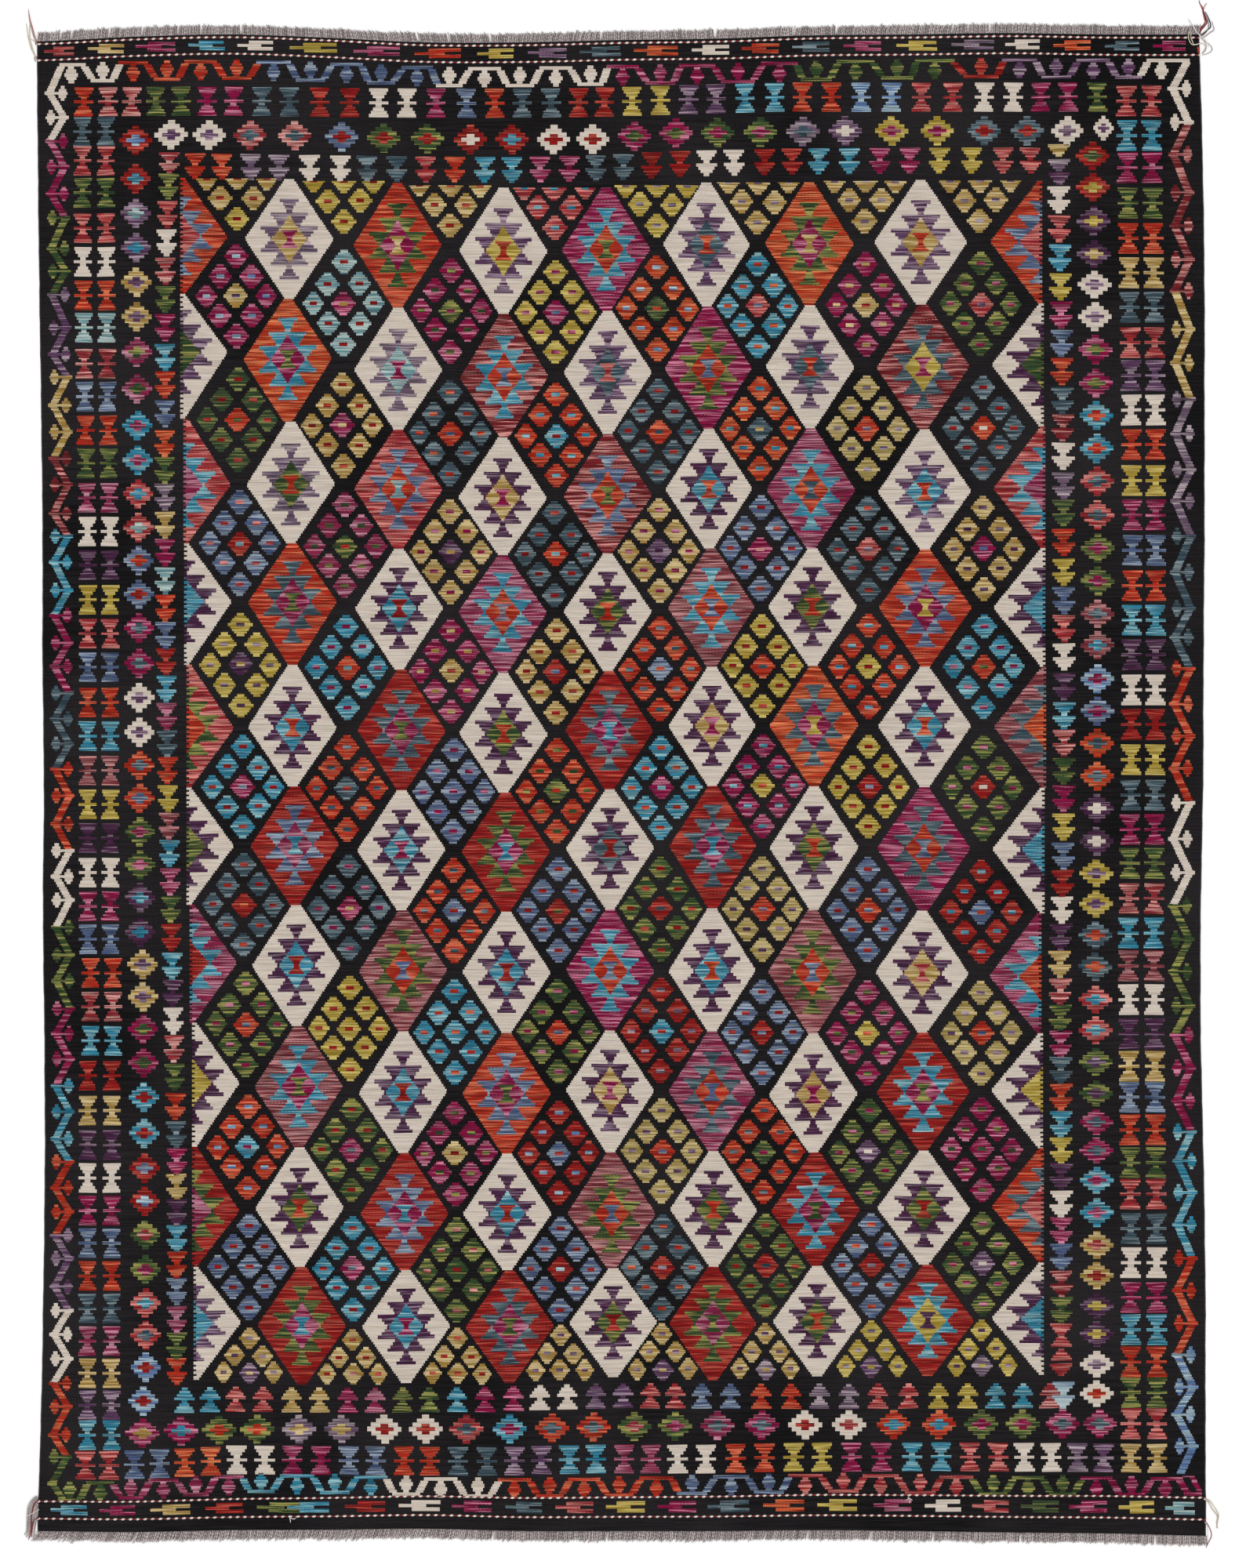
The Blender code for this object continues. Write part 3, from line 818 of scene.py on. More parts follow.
# borders: the rows and columns round the field; "places dye" run across or down
borders = {
    "hourglassTop": {
        "line": "100 130, 300 129, 450 131, 600 132, 750 131, 880 127, 1000 124, 1400 124",
        "wide": 0.98, "height": 37,
        "chart": """107 flame 138 168 rose 199 231 green 264 298 magenta 334 369 steel 408 446 brick
        483 519 ivory 556 magenta 595 blue 631 flame 666 703 steel 738 771 brick 806 842 mustard
        878 913 purple 950 988 turquoise 1023 1060 flame 1098 1137 sky 1175 1215 coral 1255 1292 ivory
        1327 1362 magenta 1399 green""",
    },
    "hourglassBottom": {
        "line": """109 1869, 139 1869, 171 1868, 235 1865.5, 302 1862, 445 1863, 620 1864, 760 1861,
        900 1861, 1010 1858.5, 1200 1858, 1290 1858.5, 1475 1860""",
        "wide": 1.03, "height": 36.5,
        "chart": """109 139 coral 171.5 203.5 blue 235.5 269 amber 302 337.5 ivory 373 409.5 magenta
        445 479 blue 515 548 flame 584 621 steel 656 690.5 purple 726 760 turquoise 796 830 orchid
        864 900 ivory 938 975 flame 1012 1048 mustard 1086 1124 magenta 1163 1200 turquoise 1237 1273 coral
        1306 1340.5 ivory 1374 lilac 1407 purple 1442 1475.5 gold""",
    },
    "hourglassLeft": {
        "lines": (
            """130 105, 300 105.5, 460 107.5, 700 112, 1198 112, 1241 115.5, 1330 115.5, 1372 112,
            1830 111.5""",
            """130 135, 300 135.5, 460 136.5, 700 140.5, 1198 141, 1241 144.3, 1330 144.3, 1372 142.8,
            1830 142.2""",
        ),
        "wide": 0.9, "height": 37.5,
        "chart": """168 steel 205 coral 246 green 291 coral 334 ivory 377 flame 418 aqua 464 rose 506 blue
        549 flame 591 green 635 orchid 678 ivory 721 plum 765 mustard 808 coral 851 blue 896 flame
        939 turquoise 983 dusty 1026 mustard 1069 plum 1113 ivory 1156 magenta 1198 blue 1241 flame
        1284 rose 1327.5 turquoise 1372 brick 1416.5 gold 1460.5 plum 1502.5 ivory 1544 magenta 1585.5 blue
        1627.5 flame 1669 steel 1710.5 orchid 1751.5 gold 1792 purple 1830.5 turquoise""",
    },
    "hourglassRight": {
        "lines": (
            "129 1436, 480 1442, 700 1444, 1000 1442, 1200 1438.5, 1400 1440, 1600 1442",
            "129 1468, 480 1473, 700 1474, 1000 1473, 1200 1471, 1400 1473, 1600 1475",
        ),
        "wide": 1.03, "height": 39,
        "chart": """129 coral 173 turquoise 214 magenta 259 green 304 flame 348 gold 392 steel 437 coral
        479 purple 523 ivory 567 flame 613 mustard 657 magenta 702 blue 747 flame 791 turquoise 835 plum
        880 ivory 924 brick 969 mustard 1014 steel 1058 magenta 1101 green 1146 rose 1190 turquoise
        1232 dusty 1275 ivory 1318.5 plum 1360 gold 1399.5 blue 1441 flame 1483 green 1523 coral 1567 steel
        1610.5 ivory 1655 magenta 1696 turquoise 1737 flame 1776 green 1816 coral""",
    },
    "rhombusTop": {
        "line": """173 179, 218 172, 376 173, 490 176, 600 178, 750 178, 860 170, 1080 167, 1361 167,
        1407 163.5""",
        "wide": 1.1, "height": 37.5,
        "chart": """173 brick/sky 218.5 267 ivory/purple 319 376 rose/steel 436 blue/brick
        489.5 545 green/brick 600 brick/ivory 653 brick/turquoise 706 756 ivory/brick 809 862 magenta/green
        915 970 green/magenta 1024 lilac/steel 1078 purple/ivory 1137 1195 mustard/magenta
        1255 1310 steel/brick 1361 ivory/purple*0.95 1407 ivory/purple*0.62^0.84""",
    },
    "rhombusBottom": {
        "line": "182 1828, 231 1825, 328 1823, 650 1822.7, 760 1820, 970 1817.6, 1400 1816",
        "wide": 1.13, "height": 37,
        "chart": """182 magenta/gold 231 magenta/turquoise 279.5 328 green/flame 381.5 435.5 lilac/gold
        490.5 543 ivory/brick 595 coral/steel 650 turquoise/magenta 704 757 flame/steel 809 green/rose
        861 green/magenta 915 orchid/steel 971.5 magenta/steel 1026.5 ivory/brick 1082.5 ivory/coral
        1139.5 1197.5 flame/turquoise 1251.5 1304 green/magenta 1355 1402.5 magenta/steel""",
    },
    "rhombusLeft": {
        "lines": ("228 173, 500 175, 700 177, 1189 179, 1230 182, 1600 185.5, 1745 186, 1787 183",),
        "wide": 1.0, "height": 37.5,
        "chart": """228 brick/turquoise 272 purple/aqua 316 purple/turquoise 360 404 gold/purple
        449 496 orchid/green 543 587 turquoise/orchid 630 coral/turquoise 673 coral/aqua 715 blue/flame
        758 blue/brick 801 846 magenta/steel 890 934 ivory/purple 976 flame/steel 1018 flame/blue
        1061 1103 green/magenta 1145 1189 plum/turquoise 1230 1271.5 gold/purple 1312.5 1355.5 magenta/green
        1399.5 1445.5 turquoise/brick 1490 brick/blue 1532 brick/sky 1575 green/rose 1619.5 green/magenta
        1662 coral/turquoise 1703 coral/steel 1744 1787 sky/brick""",
    },
    "rhombusRight": {
        "lines": ("199 1393, 450 1397, 700 1400, 1000 1399, 1240 1396.5, 1500 1398.5, 1780 1398.5",),
        "wide": 1.12, "height": 37.5, "room": 0.9,
        "chart": """199 brick/forest 239 brick/mustard 282 plum/mustard 324 plum/gold 363 404 ivory/purple
        446 489 magenta/green 530 572 turquoise/flame 614 657 coral/steel 699 741 green/magenta
        783 dusty/steel 823 dusty/turquoise 866 sky/magenta 907 blue/magenta 948 990 amber/steel
        1031 1073 plum/ivory 1114 1153 mustard/purple 1193 1233 steel/flame 1275 1314 coral/turquoise
        1354.5 green/purple 1394.5 green/plum 1431 1467.5 magenta/steel 1505.5 1546.5 turquoise/magenta
        1588 gold/coral 1627 gold/brick 1665.5 1701.5 plum/mustard 1740 ivory/purple 1777.5 ivory/flame""",
    },
    "chaliceTop": {
        "line": "249 212, 500 216, 650 217, 760 215, 870 209, 1010 206, 1200 205, 1314 205",
        "wide": 1.02, "height": 33,
        "chart": """249 283 flame 320 356 lilac 395 434 ivory 468 506 steel 543 coral 580 flame
        618 653 turquoise 689 726 magenta 760 795 steel 831 867 brick 901 936 ivory 975 1010 brick
        1044 1083 turquoise 1122 1160 magenta 1198 1239 mustard 1279 1314 coral""",
    },
    "chaliceBottom": {
        "line": "235 1786, 300 1784.5, 445 1786, 620 1785, 690 1782.5, 795 1780, 970 1781, 1340 1780",
        "wide": 1.0, "height": 32, "standing": True,
        "chart": """235.5 268 turquoise 300.5 335.5 coral 372 407.5 gold 443.5 magenta 478.5 orchid
        513.5 547.5 green 583 turquoise 618.5 655 magenta 688.5 723.5 ivory 759.5 794.5 purple
        829.5 861 coral 895 931.5 blue 970.5 1009 flame 1045 1082.5 lilac 1119.5 1158.5 coral
        1197 1234 mustard 1269.5 1304.5 turquoise 1338.5 rose""",
    },
    "chaliceLeft": {
        "lines": (
            "208 216, 350 211, 600 210, 800 211, 1000 214, 1200 219, 1300 221, 1480 225.5, 1760 225.5",
        ),
        "wide": 1.0, "height": 34.5,
        "chart": """208 rose^0.78 238 green^0.95 274 coral 310 ivory 346 rose 382 green 418 magenta
        456 turquoise 491 flame 528 blue 566 amber 600 green 634 lilac 670 gold 705 magenta 741 aqua
        776 flame 811 blue 844 brick 879 turquoise 914 orchid 949 steel 983 flame 1019 mustard 1054 dusty
        1089 turquoise 1125 orchid 1160 green 1196 brick 1232.5 turquoise 1267 plum 1302.5 ivory 1338 rose
        1374 green 1411.5 flame 1447.5 steel 1482 magenta 1514.5 gold 1547 plum 1580 turquoise 1613.5 flame
        1647.5 blue 1683.5 orchid 1717 green 1749.5 flame""",
    },
    "chaliceRight": {
        "lines": (
            """200 1349, 400 1353, 600 1356, 900 1357, 1100 1356, 1230 1351.5, 1400 1353, 1760 1353.5,
            1780 1356""",
        ),
        "wide": 1.12, "height": 34.5,
        "chart": """255 ivory 292 coral 329 turquoise 366 mustard 402 magenta 438 blue 474 flame 511 steel
        546 maroon 582 ivory 620 lilac 655 forest 692 flame 730 mustard 766 blue 802 coral 838 ivory
        876 plum 913 turquoise 948 rose 984 green 1019 magenta 1055 mustard 1092 blue 1127 brick 1161 ivory
        1195 plum 1230 gold 1265.5 rose 1299 green 1332 magenta 1365.5 steel 1399.5 flame 1434.5 turquoise
        1468 mustard 1501 plum 1536 ivory 1570 magenta 1603.5 blue 1637.5 maroon 1671.5 green 1779.5 ice""",
    },
    "cupRight": {
        "lines": ("190 1350, 230 1350.5, 1696 1353, 1750 1353",),
        "wide": 1.1, "height": 16,
        "chart": "192 gold 211 lilac 228 plum 1696 1747 coral",
    },
    "cupRightStanding": {
        "lines": ("1700 1353.5, 1750 1353.5",),
        "wide": 1.05, "height": 15.5, "standing": True,
        "chart": "1710.5 1728 coral",
    },
    "vineLeft": {
        "left": "119 58.5, 450 62.5, 1000 65.5, 1250 67, 1700 64.5, 1892 62",
        "right": "85 83, 150 86.5, 481 91, 1000 93.5, 1286 94.5, 1733 92.5, 1858 90.5, 1912 85",
        "half": 4.8, "leafTall": 19, "leafless": (1892,),
        "leftTurns": (119, 180, 247, 317, 376, 452, 517, 585, 655, 717, 785, 850, 917, 981, 1051, 1118,
                      1183, 1251, 1318.5, 1385, 1452.5, 1515, 1576, 1641, 1702, 1764.5, 1830, 1892),
        "rightTurns": (84.9, 150, 213, 278, 346, 418, 481, 551, 618, 684, 753, 820, 884, 949, 1015, 1085,
                       1148, 1218, 1286.5, 1350.5, 1418, 1482, 1545.5, 1605, 1671.5, 1733, 1794, 1858,
                       1912),
        "dyes": """82 ivory 180 magenta 278 green 375 purple 480 gold 583 maroon 684 turquoise 785 magenta
        884 steel 980 flame 1085 ivory 1183 green 1287 magenta 1385 turquoise 1482 flame 1576 purple
        1671.5 ivory 1764.5 flame 1858 green""",
    },
    "vineRight": {
        "left": "113 1490, 290 1492.5, 600 1494, 1200 1490, 1480 1496.5, 1804 1495, 1880 1500",
        "right": "79 1518.5, 156 1521, 600 1524, 1200 1522, 1521 1525.5, 1845 1527",
        "half": 5.2, "leafTall": 21.5, "leafless": (),
        "leftTurns": (113, 197, 288, 371, 463, 553, 639, 730, 813, 898, 980, 1070, 1155, 1239.5, 1320, 1404,
                      1480.5, 1562, 1646, 1728, 1804, 1880),
        "rightTurns": (79.36, 156, 246, 331, 420, 509, 599, 684, 776, 853, 939, 1024, 1113, 1198, 1283,
                       1362, 1443.5, 1521, 1605, 1688, 1769, 1844.5),
        "dyes": """76 ivory 159 maroon 372 gold 508 lilac 684 steel 853 flame 1024 ivory 1155 green
        1320 magenta 1443.5 turquoise 1603 flame 1728 sky""",
    },
    "meanderTop": {
        "line": """76 94, 171 91, 295 89, 420 92, 560 98.5, 668 98.5, 792 96, 917 94, 1041 90.5, 1165 88.5,
        1250 87, 1414 88, 1518 88""",
        "height": 21.5, "firstHangs": True, "ends": (76, 1517),
        "buds": (91, 131, 170, 213, 256, 302, 349, 396, 442, 486, 532, 573, 618, 663, 709, 753, 794, 842,
                 889, 941, 994, 1041, 1091, 1144, 1192, 1251, 1300, 1347, 1394, 1439, 1481),
        "dyes": """60 ivory 155 flame 345 blue 556 ivory 775 magenta 1006 green 1207 brick 1293 purple
        1455 ivory""",
    },
    "meanderBottom": {
        "line": """90 1903, 170 1900, 210 1898, 250 1896, 290 1894, 330 1892, 430 1893.5, 515 1895.5,
        610 1898, 700 1897.5, 790 1896.5, 885 1894.5, 980 1893, 1075 1891.5, 1170 1893.5, 1265 1895,
        1355 1895, 1443 1896.5, 1500 1896.5""",
        "height": 20.5, "firstHangs": False, "ends": (74, 1508),
        # the last turn is closed into a hollow lozenge: strokes as start, end and half width, and two bars
        "strokes": ((1503.4, 1887.5, 1514, 1903.6, 4.6), (1520.4, 1884, 1529.8, 1903.6, 3.4)),
        "bars": ((1882.6, 1884, 1508, 1523.5), (1903.6, 1907.4, 1509.5, 1532.7)),
        "buds": (89, 128, 167, 208.5, 250, 292, 333, 379, 427, 473, 518, 562, 609.5, 656, 701, 745, 789.5,
                 837, 882.5, 932.5, 980.5, 1027, 1075.5, 1123, 1173.5, 1219.5, 1266.5, 1311, 1355, 1398,
                 1443, 1486),
        "dyes": """60 green 146 orchid 313 turquoise 494 ivory 653 flame 866 blue 1020 coral 1224 green
        1398 magenta""",
    },
    "arrowsTop": {
        "between": ("top_outer", "top_inner"), "shift": -0.5,
        "chart": """57-95 coral 112-158 gold 173-223 magenta 241-286 turquoise 303-348 ivory 369-430 mustard
        451-510 magenta 529-587 flame 609-655 mustard 673-723 purple 740-791 steel 809-864 amber
        882-929 ivory 945-993 flame 1010-1058 steel 1076-1124 magenta 1143-1195 mustard 1213-1267 lilac
        1281-1326 ivory 1343-1390 amber 1408-1453 steel 1470-1511 magenta""",
    },
    "arrowsBottom": {
        "between": ("bottom_inner", "bottom_outer"), "shift": 0.0,
        "chart": """64-111 turquoise 127-173 magenta 192-242 gold 261-310 brick 327-382 green
        366-420 turquoise 440-492 brick 509-561 ivory 577-627 magenta 645-691 steel 708-757 coral
        772-822 mustard 839-887 magenta 903-955 steel 973-1026 amber 1042-1093 mustard 1113-1163 orchid
        1179-1225 ivory 1240-1287 coral 1302-1350 forest 1364-1411 magenta 1427-1472 mustard
        1485-1523 aqua""",
    },
}
vineShape = {
    "widthAt": 600,  # chart step down at which the vine's width is read
    "leafOut": 0.76,  # the leaf's middle, as a share of the width
    "leafWide": 1.0,
    "nub": (2.2, 1.4),  # half height, and how far it stands out past the turn
    "stem": 1.6,
}
meanderShape = {
    "half": 4.9,
    "above": 2.2,
    "below": 2.1,
    "past": 40,  # from an end bud to where the next one would be
    "spare": (4.5, 1.5),  # what a run falls short by under a standing bud and over a hanging one
    "overlap": 1.5,
}
arrowShape = {
    "reach": 0.29,  # half height, as a share of the room between the twined rows
    "arms": ((-1, -0.3, 0.3, 1.0), (-0.3, 0.3, 0.0, 0.65), (0.3, 1, 0.3, 1.0)),  # top, bottom, start, end
}

# twined rows: mm from the nearer end of the cloth at its left and right side
twinedRows = {
    "top_outer": ("top", 8, 9),
    "top_inner": ("top", 43, 46),
    "bottom_inner": ("bottom", 66, 84),
    "bottom_outer": ("bottom", 29, 37),
}


def twinedY(name, x):
    end, left, right = twinedRows[name]
    share = (x - shiftX) / cloth["width"] + 0.5
    inward = (left + (right - left) * share) * mm
    return topEdge(share) - inward if end == "top" else bottomEdge(share) + inward


def weaveSimple(kind, middle, centre, colours, border, height):
    # a motif may be narrower ("*") or lower ("^") than the rest of its row
    colours, _, low = colours.partition("^")
    colours, _, narrow = colours.partition("*")
    wide, height = border["wide"] * float(narrow or 1), height * float(low or 1)
    lean = chance.uniform(-1, 1) * chart["lean"]
    rows = motifs[kind][::-1] if border.get("standing") else motifs[kind]
    layers = []
    for dye, shape, tall in zip(colours.split("/"), (rows, motifs["heart"]), (1, chart["heartHeight"])):
        made = centred(middle, centre, shape, wide, height * tall)
        leaning = []
        for top, bottom, left, right in made:
            shift = lean * ((top + bottom) / 2 - centre)
            leaning.append((top, bottom, left + shift, right + shift))
        layers.append((dye, leaning))
    weave(layers, middle)


def weaveRow(kind, border):
    marks = readChart(border["chart"])
    for index, (place, colours) in enumerate(marks):
        height = border["height"]
        if "room" in border:
            # a motif is squeezed where its neighbours stand close
            near = [abs(other - place) for other, _ in marks[max(index - 1, 0):index + 2] if other != place]
            height = min(height, min(near) * border["room"])
        if "line" in border:
            weaveSimple(kind, place, readLine(border["line"], place), colours, border, height)
        for line in border.get("lines", ()):
            weaveSimple(kind, readLine(line, place), place, colours, border, height)


def weaveBorders():
    for name, border in borders.items():
        for kind in ("hourglass", "rhombus", "chalice", "cup"):
            if name.startswith(kind):
                weaveRow(kind, border)


def slantRows(x0, y0, x1, y1, half):
    count = max(1, round(abs(y1 - y0) / chart["slantHeight"]))
    made = []
    for k in range(count):
        top, bottom = y0 + (y1 - y0) * k / count, y0 + (y1 - y0) * (k + 1) / count
        x = x0 + (x1 - x0) * (k + 0.5) / count
        rough = chance.uniform(-chart["slantRough"], chart["slantRough"])
        made.append((min(top, bottom), max(top, bottom), x - half + rough, x + half + rough))
    return made


def weaveVine(vine):
    turns = sorted([(y, side) for side in ("left", "right") for y in vine[side + "Turns"]])
    ranges = readChart(vine["dyes"])
    half = vine["half"]

    def stroke(y, side):
        return readLine(vine[side], y) + (half if side == "left" else -half)

    layers = []
    for (y0, side0), (y1, side1) in zip(turns, turns[1:]):
        if side0 != side1:
            rows = slantRows(stroke(y0, side0), y0, stroke(y1, side1), y1, half)
            layers += [(dyeAt(ranges, (row[0] + row[1]) / 2), [row]) for row in rows]
    left, right = (readLine(vine[side], vineShape["widthAt"]) for side in ("left", "right"))
    nub, past = vineShape["nub"]
    stem = vineShape["stem"]
    for y, side in turns[1:-1]:
        out = 1 if side == "left" else -1
        tip = readLine(vine[side], y)
        middle = tip + out * (right - left) * vineShape["leafOut"]
        rows = []
        if y not in vine["leafless"]:
            rows = centred(middle, y, motifs["leaf"], vineShape["leafWide"], vine["leafTall"])
            rows.append((y - stem, y + stem, *sorted((tip + out * half, middle))))
        rows.append((y - nub, y + nub, *sorted((tip - out * past, tip + out * half))))
        layers.append((dyeAt(ranges, y + 0.5), rows))
    weave(layers, left, tilts=0.0)


def weaveMeander(meander):
    ranges = readChart(meander["dyes"])
    buds, hangs = meander["buds"], meander["firstHangs"]
    above, below = meanderShape["above"], meanderShape["below"]
    past, overlap = meanderShape["past"], meanderShape["overlap"]
    places = [buds[0] - past, *buds, buds[-1] + past]
    bud = motifs["bud"]
    runs = []
    for index, x in enumerate(buds):
        wide = (places[index + 2] - places[index]) / 4 - meanderShape["spare"][hangs]
        start = meander["ends"][0] if index == 0 else x - wide
        end = meander["ends"][1] if index + 1 == len(buds) else x + wide
        y = readLine(meander["line"], x) + meander["height"] / 2 * (-1 if hangs else 1)
        runs.append((x - wide, x + wide, y))
        if hangs:
            rows = rowsFrom(x, y + below, bud[::-1])
        else:
            rows = rowsFrom(x, y - above - sum(height for height, _ in bud), bud)
        weave([(dyeAt(ranges, x), rows + [(y - above, y + below, start, end)])], x, tilts=0.0)
        hangs = not hangs
    for (_, x0, y0), (x1, _, y1) in zip(runs, runs[1:]):
        start, end = (y0 + below, y1 - above) if y1 > y0 else (y0 - above, y1 + below)
        rows = slantRows(x0 - overlap, start, x1 + overlap, end, meanderShape["half"])
        weave([(dyeAt(ranges, (x0 + x1) / 2), rows)], (x0 + x1) / 2, tilts=0.0)
    if "strokes" in meander:
        rows = [row for stroke in meander["strokes"] for row in slantRows(*stroke)]
        weave([(dyeAt(ranges, buds[-1]), rows + list(meander["bars"]))], buds[-1], tilts=0.0)


def weaveArrows(arrows):
    words = arrows["chart"].split()
    for place, dye in zip(words[::2], words[1::2]):
        start, end = (float(v) for v in place.split("-"))
        long, middle = end - start, (start + end) / 2
        above, below = (stepsY(float(twinedY(name, chartX(middle)))) for name in arrows["between"])
        y = (above + below) / 2 + arrows["shift"]
        reach = (below - above) * arrowShape["reach"]
        rows = []
        for top, bottom, first, last in arrowShape["arms"]:
            left = start + first * long + chance.uniform(-1, 1)
            right = start + last * long + chance.uniform(-1, 1)
            rows.append((y + top * reach, y + bottom * reach, left, right))
        weave([(dye, rows)], middle)


def makeBand(number, patchRows, wallRows, material):
    # one band of the pattern across the rug, as a mesh with its tones on the face corners
    edges = np.array([(a, bottom, b, bottom, b, top, a, top) for a, b, top, bottom, *_ in patchRows], float)
    marks = np.array([row[4:8] for row in patchRows], float)
    sides = np.array([row[:4] for row in wallRows], float)
    sideMarks = np.array([row[4:8] for row in wallRows], float)

    def place(steps, mark):
        x, y = steps[:, 0::2], steps[:, 1::2]
        y = y + mark[:, 2:3] * (x - mark[:, 3:4])
        x, y = chartX(x), chartY(y)
        return np.stack([x, y, clothHeight(x, y) + patternWool["lift"]], axis=2)

    top = place(edges, marks)
    rim = place(sides, sideMarks)
    low = rim.copy()
    low[:, :, 2] -= patternWool["lift"] * patternWool["rimDepth"]
    # a wall runs from its low start to its low end and back along the top
    skirt = np.stack([low[:, 1], low[:, 0], rim[:, 0], rim[:, 1]], axis=1)
    points = np.concatenate([top.reshape(-1, 3), skirt.reshape(-1, 3)])
    faces = np.arange(len(points)).reshape(-1, 4)
    piece = makePiece(f"patternBand{number}", points.tolist(), faces.tolist(), [material])
    mark = np.concatenate([marks, sideMarks])
    tones = {"darkTone": [], "lightTone": []}
    # the dark tone's alpha carries the depth of the painted row and bead shade
    for dark, light, share, depth in dyes.values():
        tones["darkTone"].append((*toLinear(dark), depth))
        tones["lightTone"].append((*toLinear(light), share))
    for key, table in tones.items():
        layer = piece.data.attributes.new(key, "FLOAT_COLOR", "CORNER")
        corners = np.repeat(np.array(table)[mark[:, 0].astype(int)], 4, axis=0)
        layer.data.foreach_set("color", corners.ravel())
    yarn = np.array([row[8:] for row in patchRows + wallRows], float)
    # a patch's corners start at its bottom left; a wall's at its low end
    order = np.where(np.arange(len(yarn))[:, None] < len(patchRows), ((1, 1, 0, 0),), ((1, 0, 0, 1),))
    thread = np.zeros((len(yarn), 4, 3))
    thread[:, :, 0] = np.take_along_axis(yarn[:, :2], order, axis=1)
    thread[:, :, 1] = yarn[:, 2:3] * (chart["size"][1] / clothTall)
    thread[:, :, 2] = mark[:, 1:2]
    layer = piece.data.attributes.new("thread", "FLOAT_VECTOR", "CORNER")
    layer.data.foreach_set("vector", thread.ravel())
    # the long band is folded into a few rows of the map
    flat = points[:, :2].reshape(-1, 4, 2)
    low, high = points[:, :2].min(0), points[:, :2].max(0)
    rows, spare, gap = patternWool["mapRows"], patternWool["mapSpare"], patternWool["mapGap"]
    cell = (high[0] - low[0]) / rows
    fold = np.clip(((flat[:, :, 0].mean(1) - low[0]) / cell).astype(int), 0, rows - 1)
    tall = high[1] - low[1] + gap
    side = max(cell + 2 * spare, rows * tall)
    u = (flat[:, :, 0] - low[0] - fold[:, None] * cell + spare) / side
    v = (flat[:, :, 1] - low[1] + fold[:, None] * tall + gap / 2) / side
    giveMap(piece, np.stack([u, v], axis=2).reshape(-1, 2))
    return piece


def makePattern():
    weaveDiamonds()
    weaveFlowers()
    weaveBorders()
    for weaver, names in (
        (weaveVine, ("vineLeft", "vineRight")),
        (weaveMeander, ("meanderTop", "meanderBottom")),
        (weaveArrows, ("arrowsTop", "arrowsBottom")),
    ):
        for name in names:
            weaver(borders[name])
    material = makePatternWool()
    count, (_, start), tall = chart["bands"], chart["corner"], chart["size"][1]

    def bandOf(y):
        return min(max(int((y - start) / tall * count), 0), count - 1)

    bands = [([], []) for _ in range(count)]
    for row in patches:
        bands[bandOf((row[2] + row[3]) / 2)][0].append(row)
    for row in walls:
        bands[bandOf((row[1] + row[3]) / 2)][1].append(row)
    return [makeBand(k + 1, patchRows, wallRows, material) for k, (patchRows, wallRows) in enumerate(bands)]


twining = {
    "red": ((142, 28, 38), (100, 14, 26)),  # tone and dark tone
    "white": ((236, 231, 222), (188, 176, 164)),
    "turn": 16.4 * mm,
    "halfWidths": (1.4 * mm, 2.3 * mm),  # red strand, white strand
    "halfHeight": 0.95 * mm,
    "swingAcross": 0.42 * mm,
    "swingUp": 0.8 * mm,
    "thinnest": (0.55, 0.25),  # share of the width where a strand goes under: red, white
    "grain": (1.5, 0.2, 0.8),  # how fast a strand swells, how late, and how fully
    "wander": ((0.35, 23), (0.2, 61)),  # unevenness of the turns: how much, turn along the row
    "raise": (0.1 * mm, 0.25 * mm),
    "past": 0.5 * mm,  # how far a row goes over the selvedge
    "ringsPerTurn": 11,
    "sides": 6,
    "mapSpare": 4 * mm,  # beside a row on the colour map
}
yarnWool = {
    "fuzzScale": 700.0,
    "slowScale": 45.0,
    "slowWeight": 0.6,
    "lightFrom": (0.6, 1.0),
    "roughness": 0.9,
    "shine": 0.25,
    "sheen": 0.2,
    "bump": (0.6, 0.2 * mm),
}
longMap = {"rows": 12, "size": (0.96, 0.9), "spare": (0.02, 0.05)}  # of one row's room on the colour map


def makeYarnWool(name, tone, darkTone):
    n = Nodes(name)
    fuzz = n.noise(n.place, yarnWool["fuzzScale"], 3.0)
    slow = n.noise(n.place, yarnWool["slowScale"], 1.0)
    share = n.fit(n.plus(fuzz, n.times(slow, yarnWool["slowWeight"])), *yarnWool["lightFrom"])
    return n.finish(n.blend(share, paint(darkTone), paint(tone)), yarnWool, fuzz)


def tube(centres, sideways, upwards, wide, tall, sides, turn):
    # rings of points about a line; turn twists the flat section so that it reads as a ply
    angle = np.linspace(0, 2 * math.pi, sides, endpoint=False)[None, :] + 0 * turn[:, None]
    a, b = np.cos(angle) * wide[:, None], np.sin(angle) * tall[:, None]
    c, s = np.cos(turn)[:, None], np.sin(turn)[:, None]
    a, b = a * c - b * s, a * s + b * c
    return centres[:, None, :] + a[:, :, None] * sideways[:, None, :] + b[:, :, None] * upwards[:, None, :]


def tubeFaces(rings, sides, first):
    faces = []
    for k in range(rings - 1):
        for side in range(sides):
            a, b = first + k * sides + side, first + k * sides + (side + 1) % sides
            faces.append((a, b, b + sides, a + sides))
    faces.append(tuple(first + side for side in reversed(range(sides))))
    faces.append(tuple(first + (rings - 1) * sides + side for side in range(sides)))
    return faces


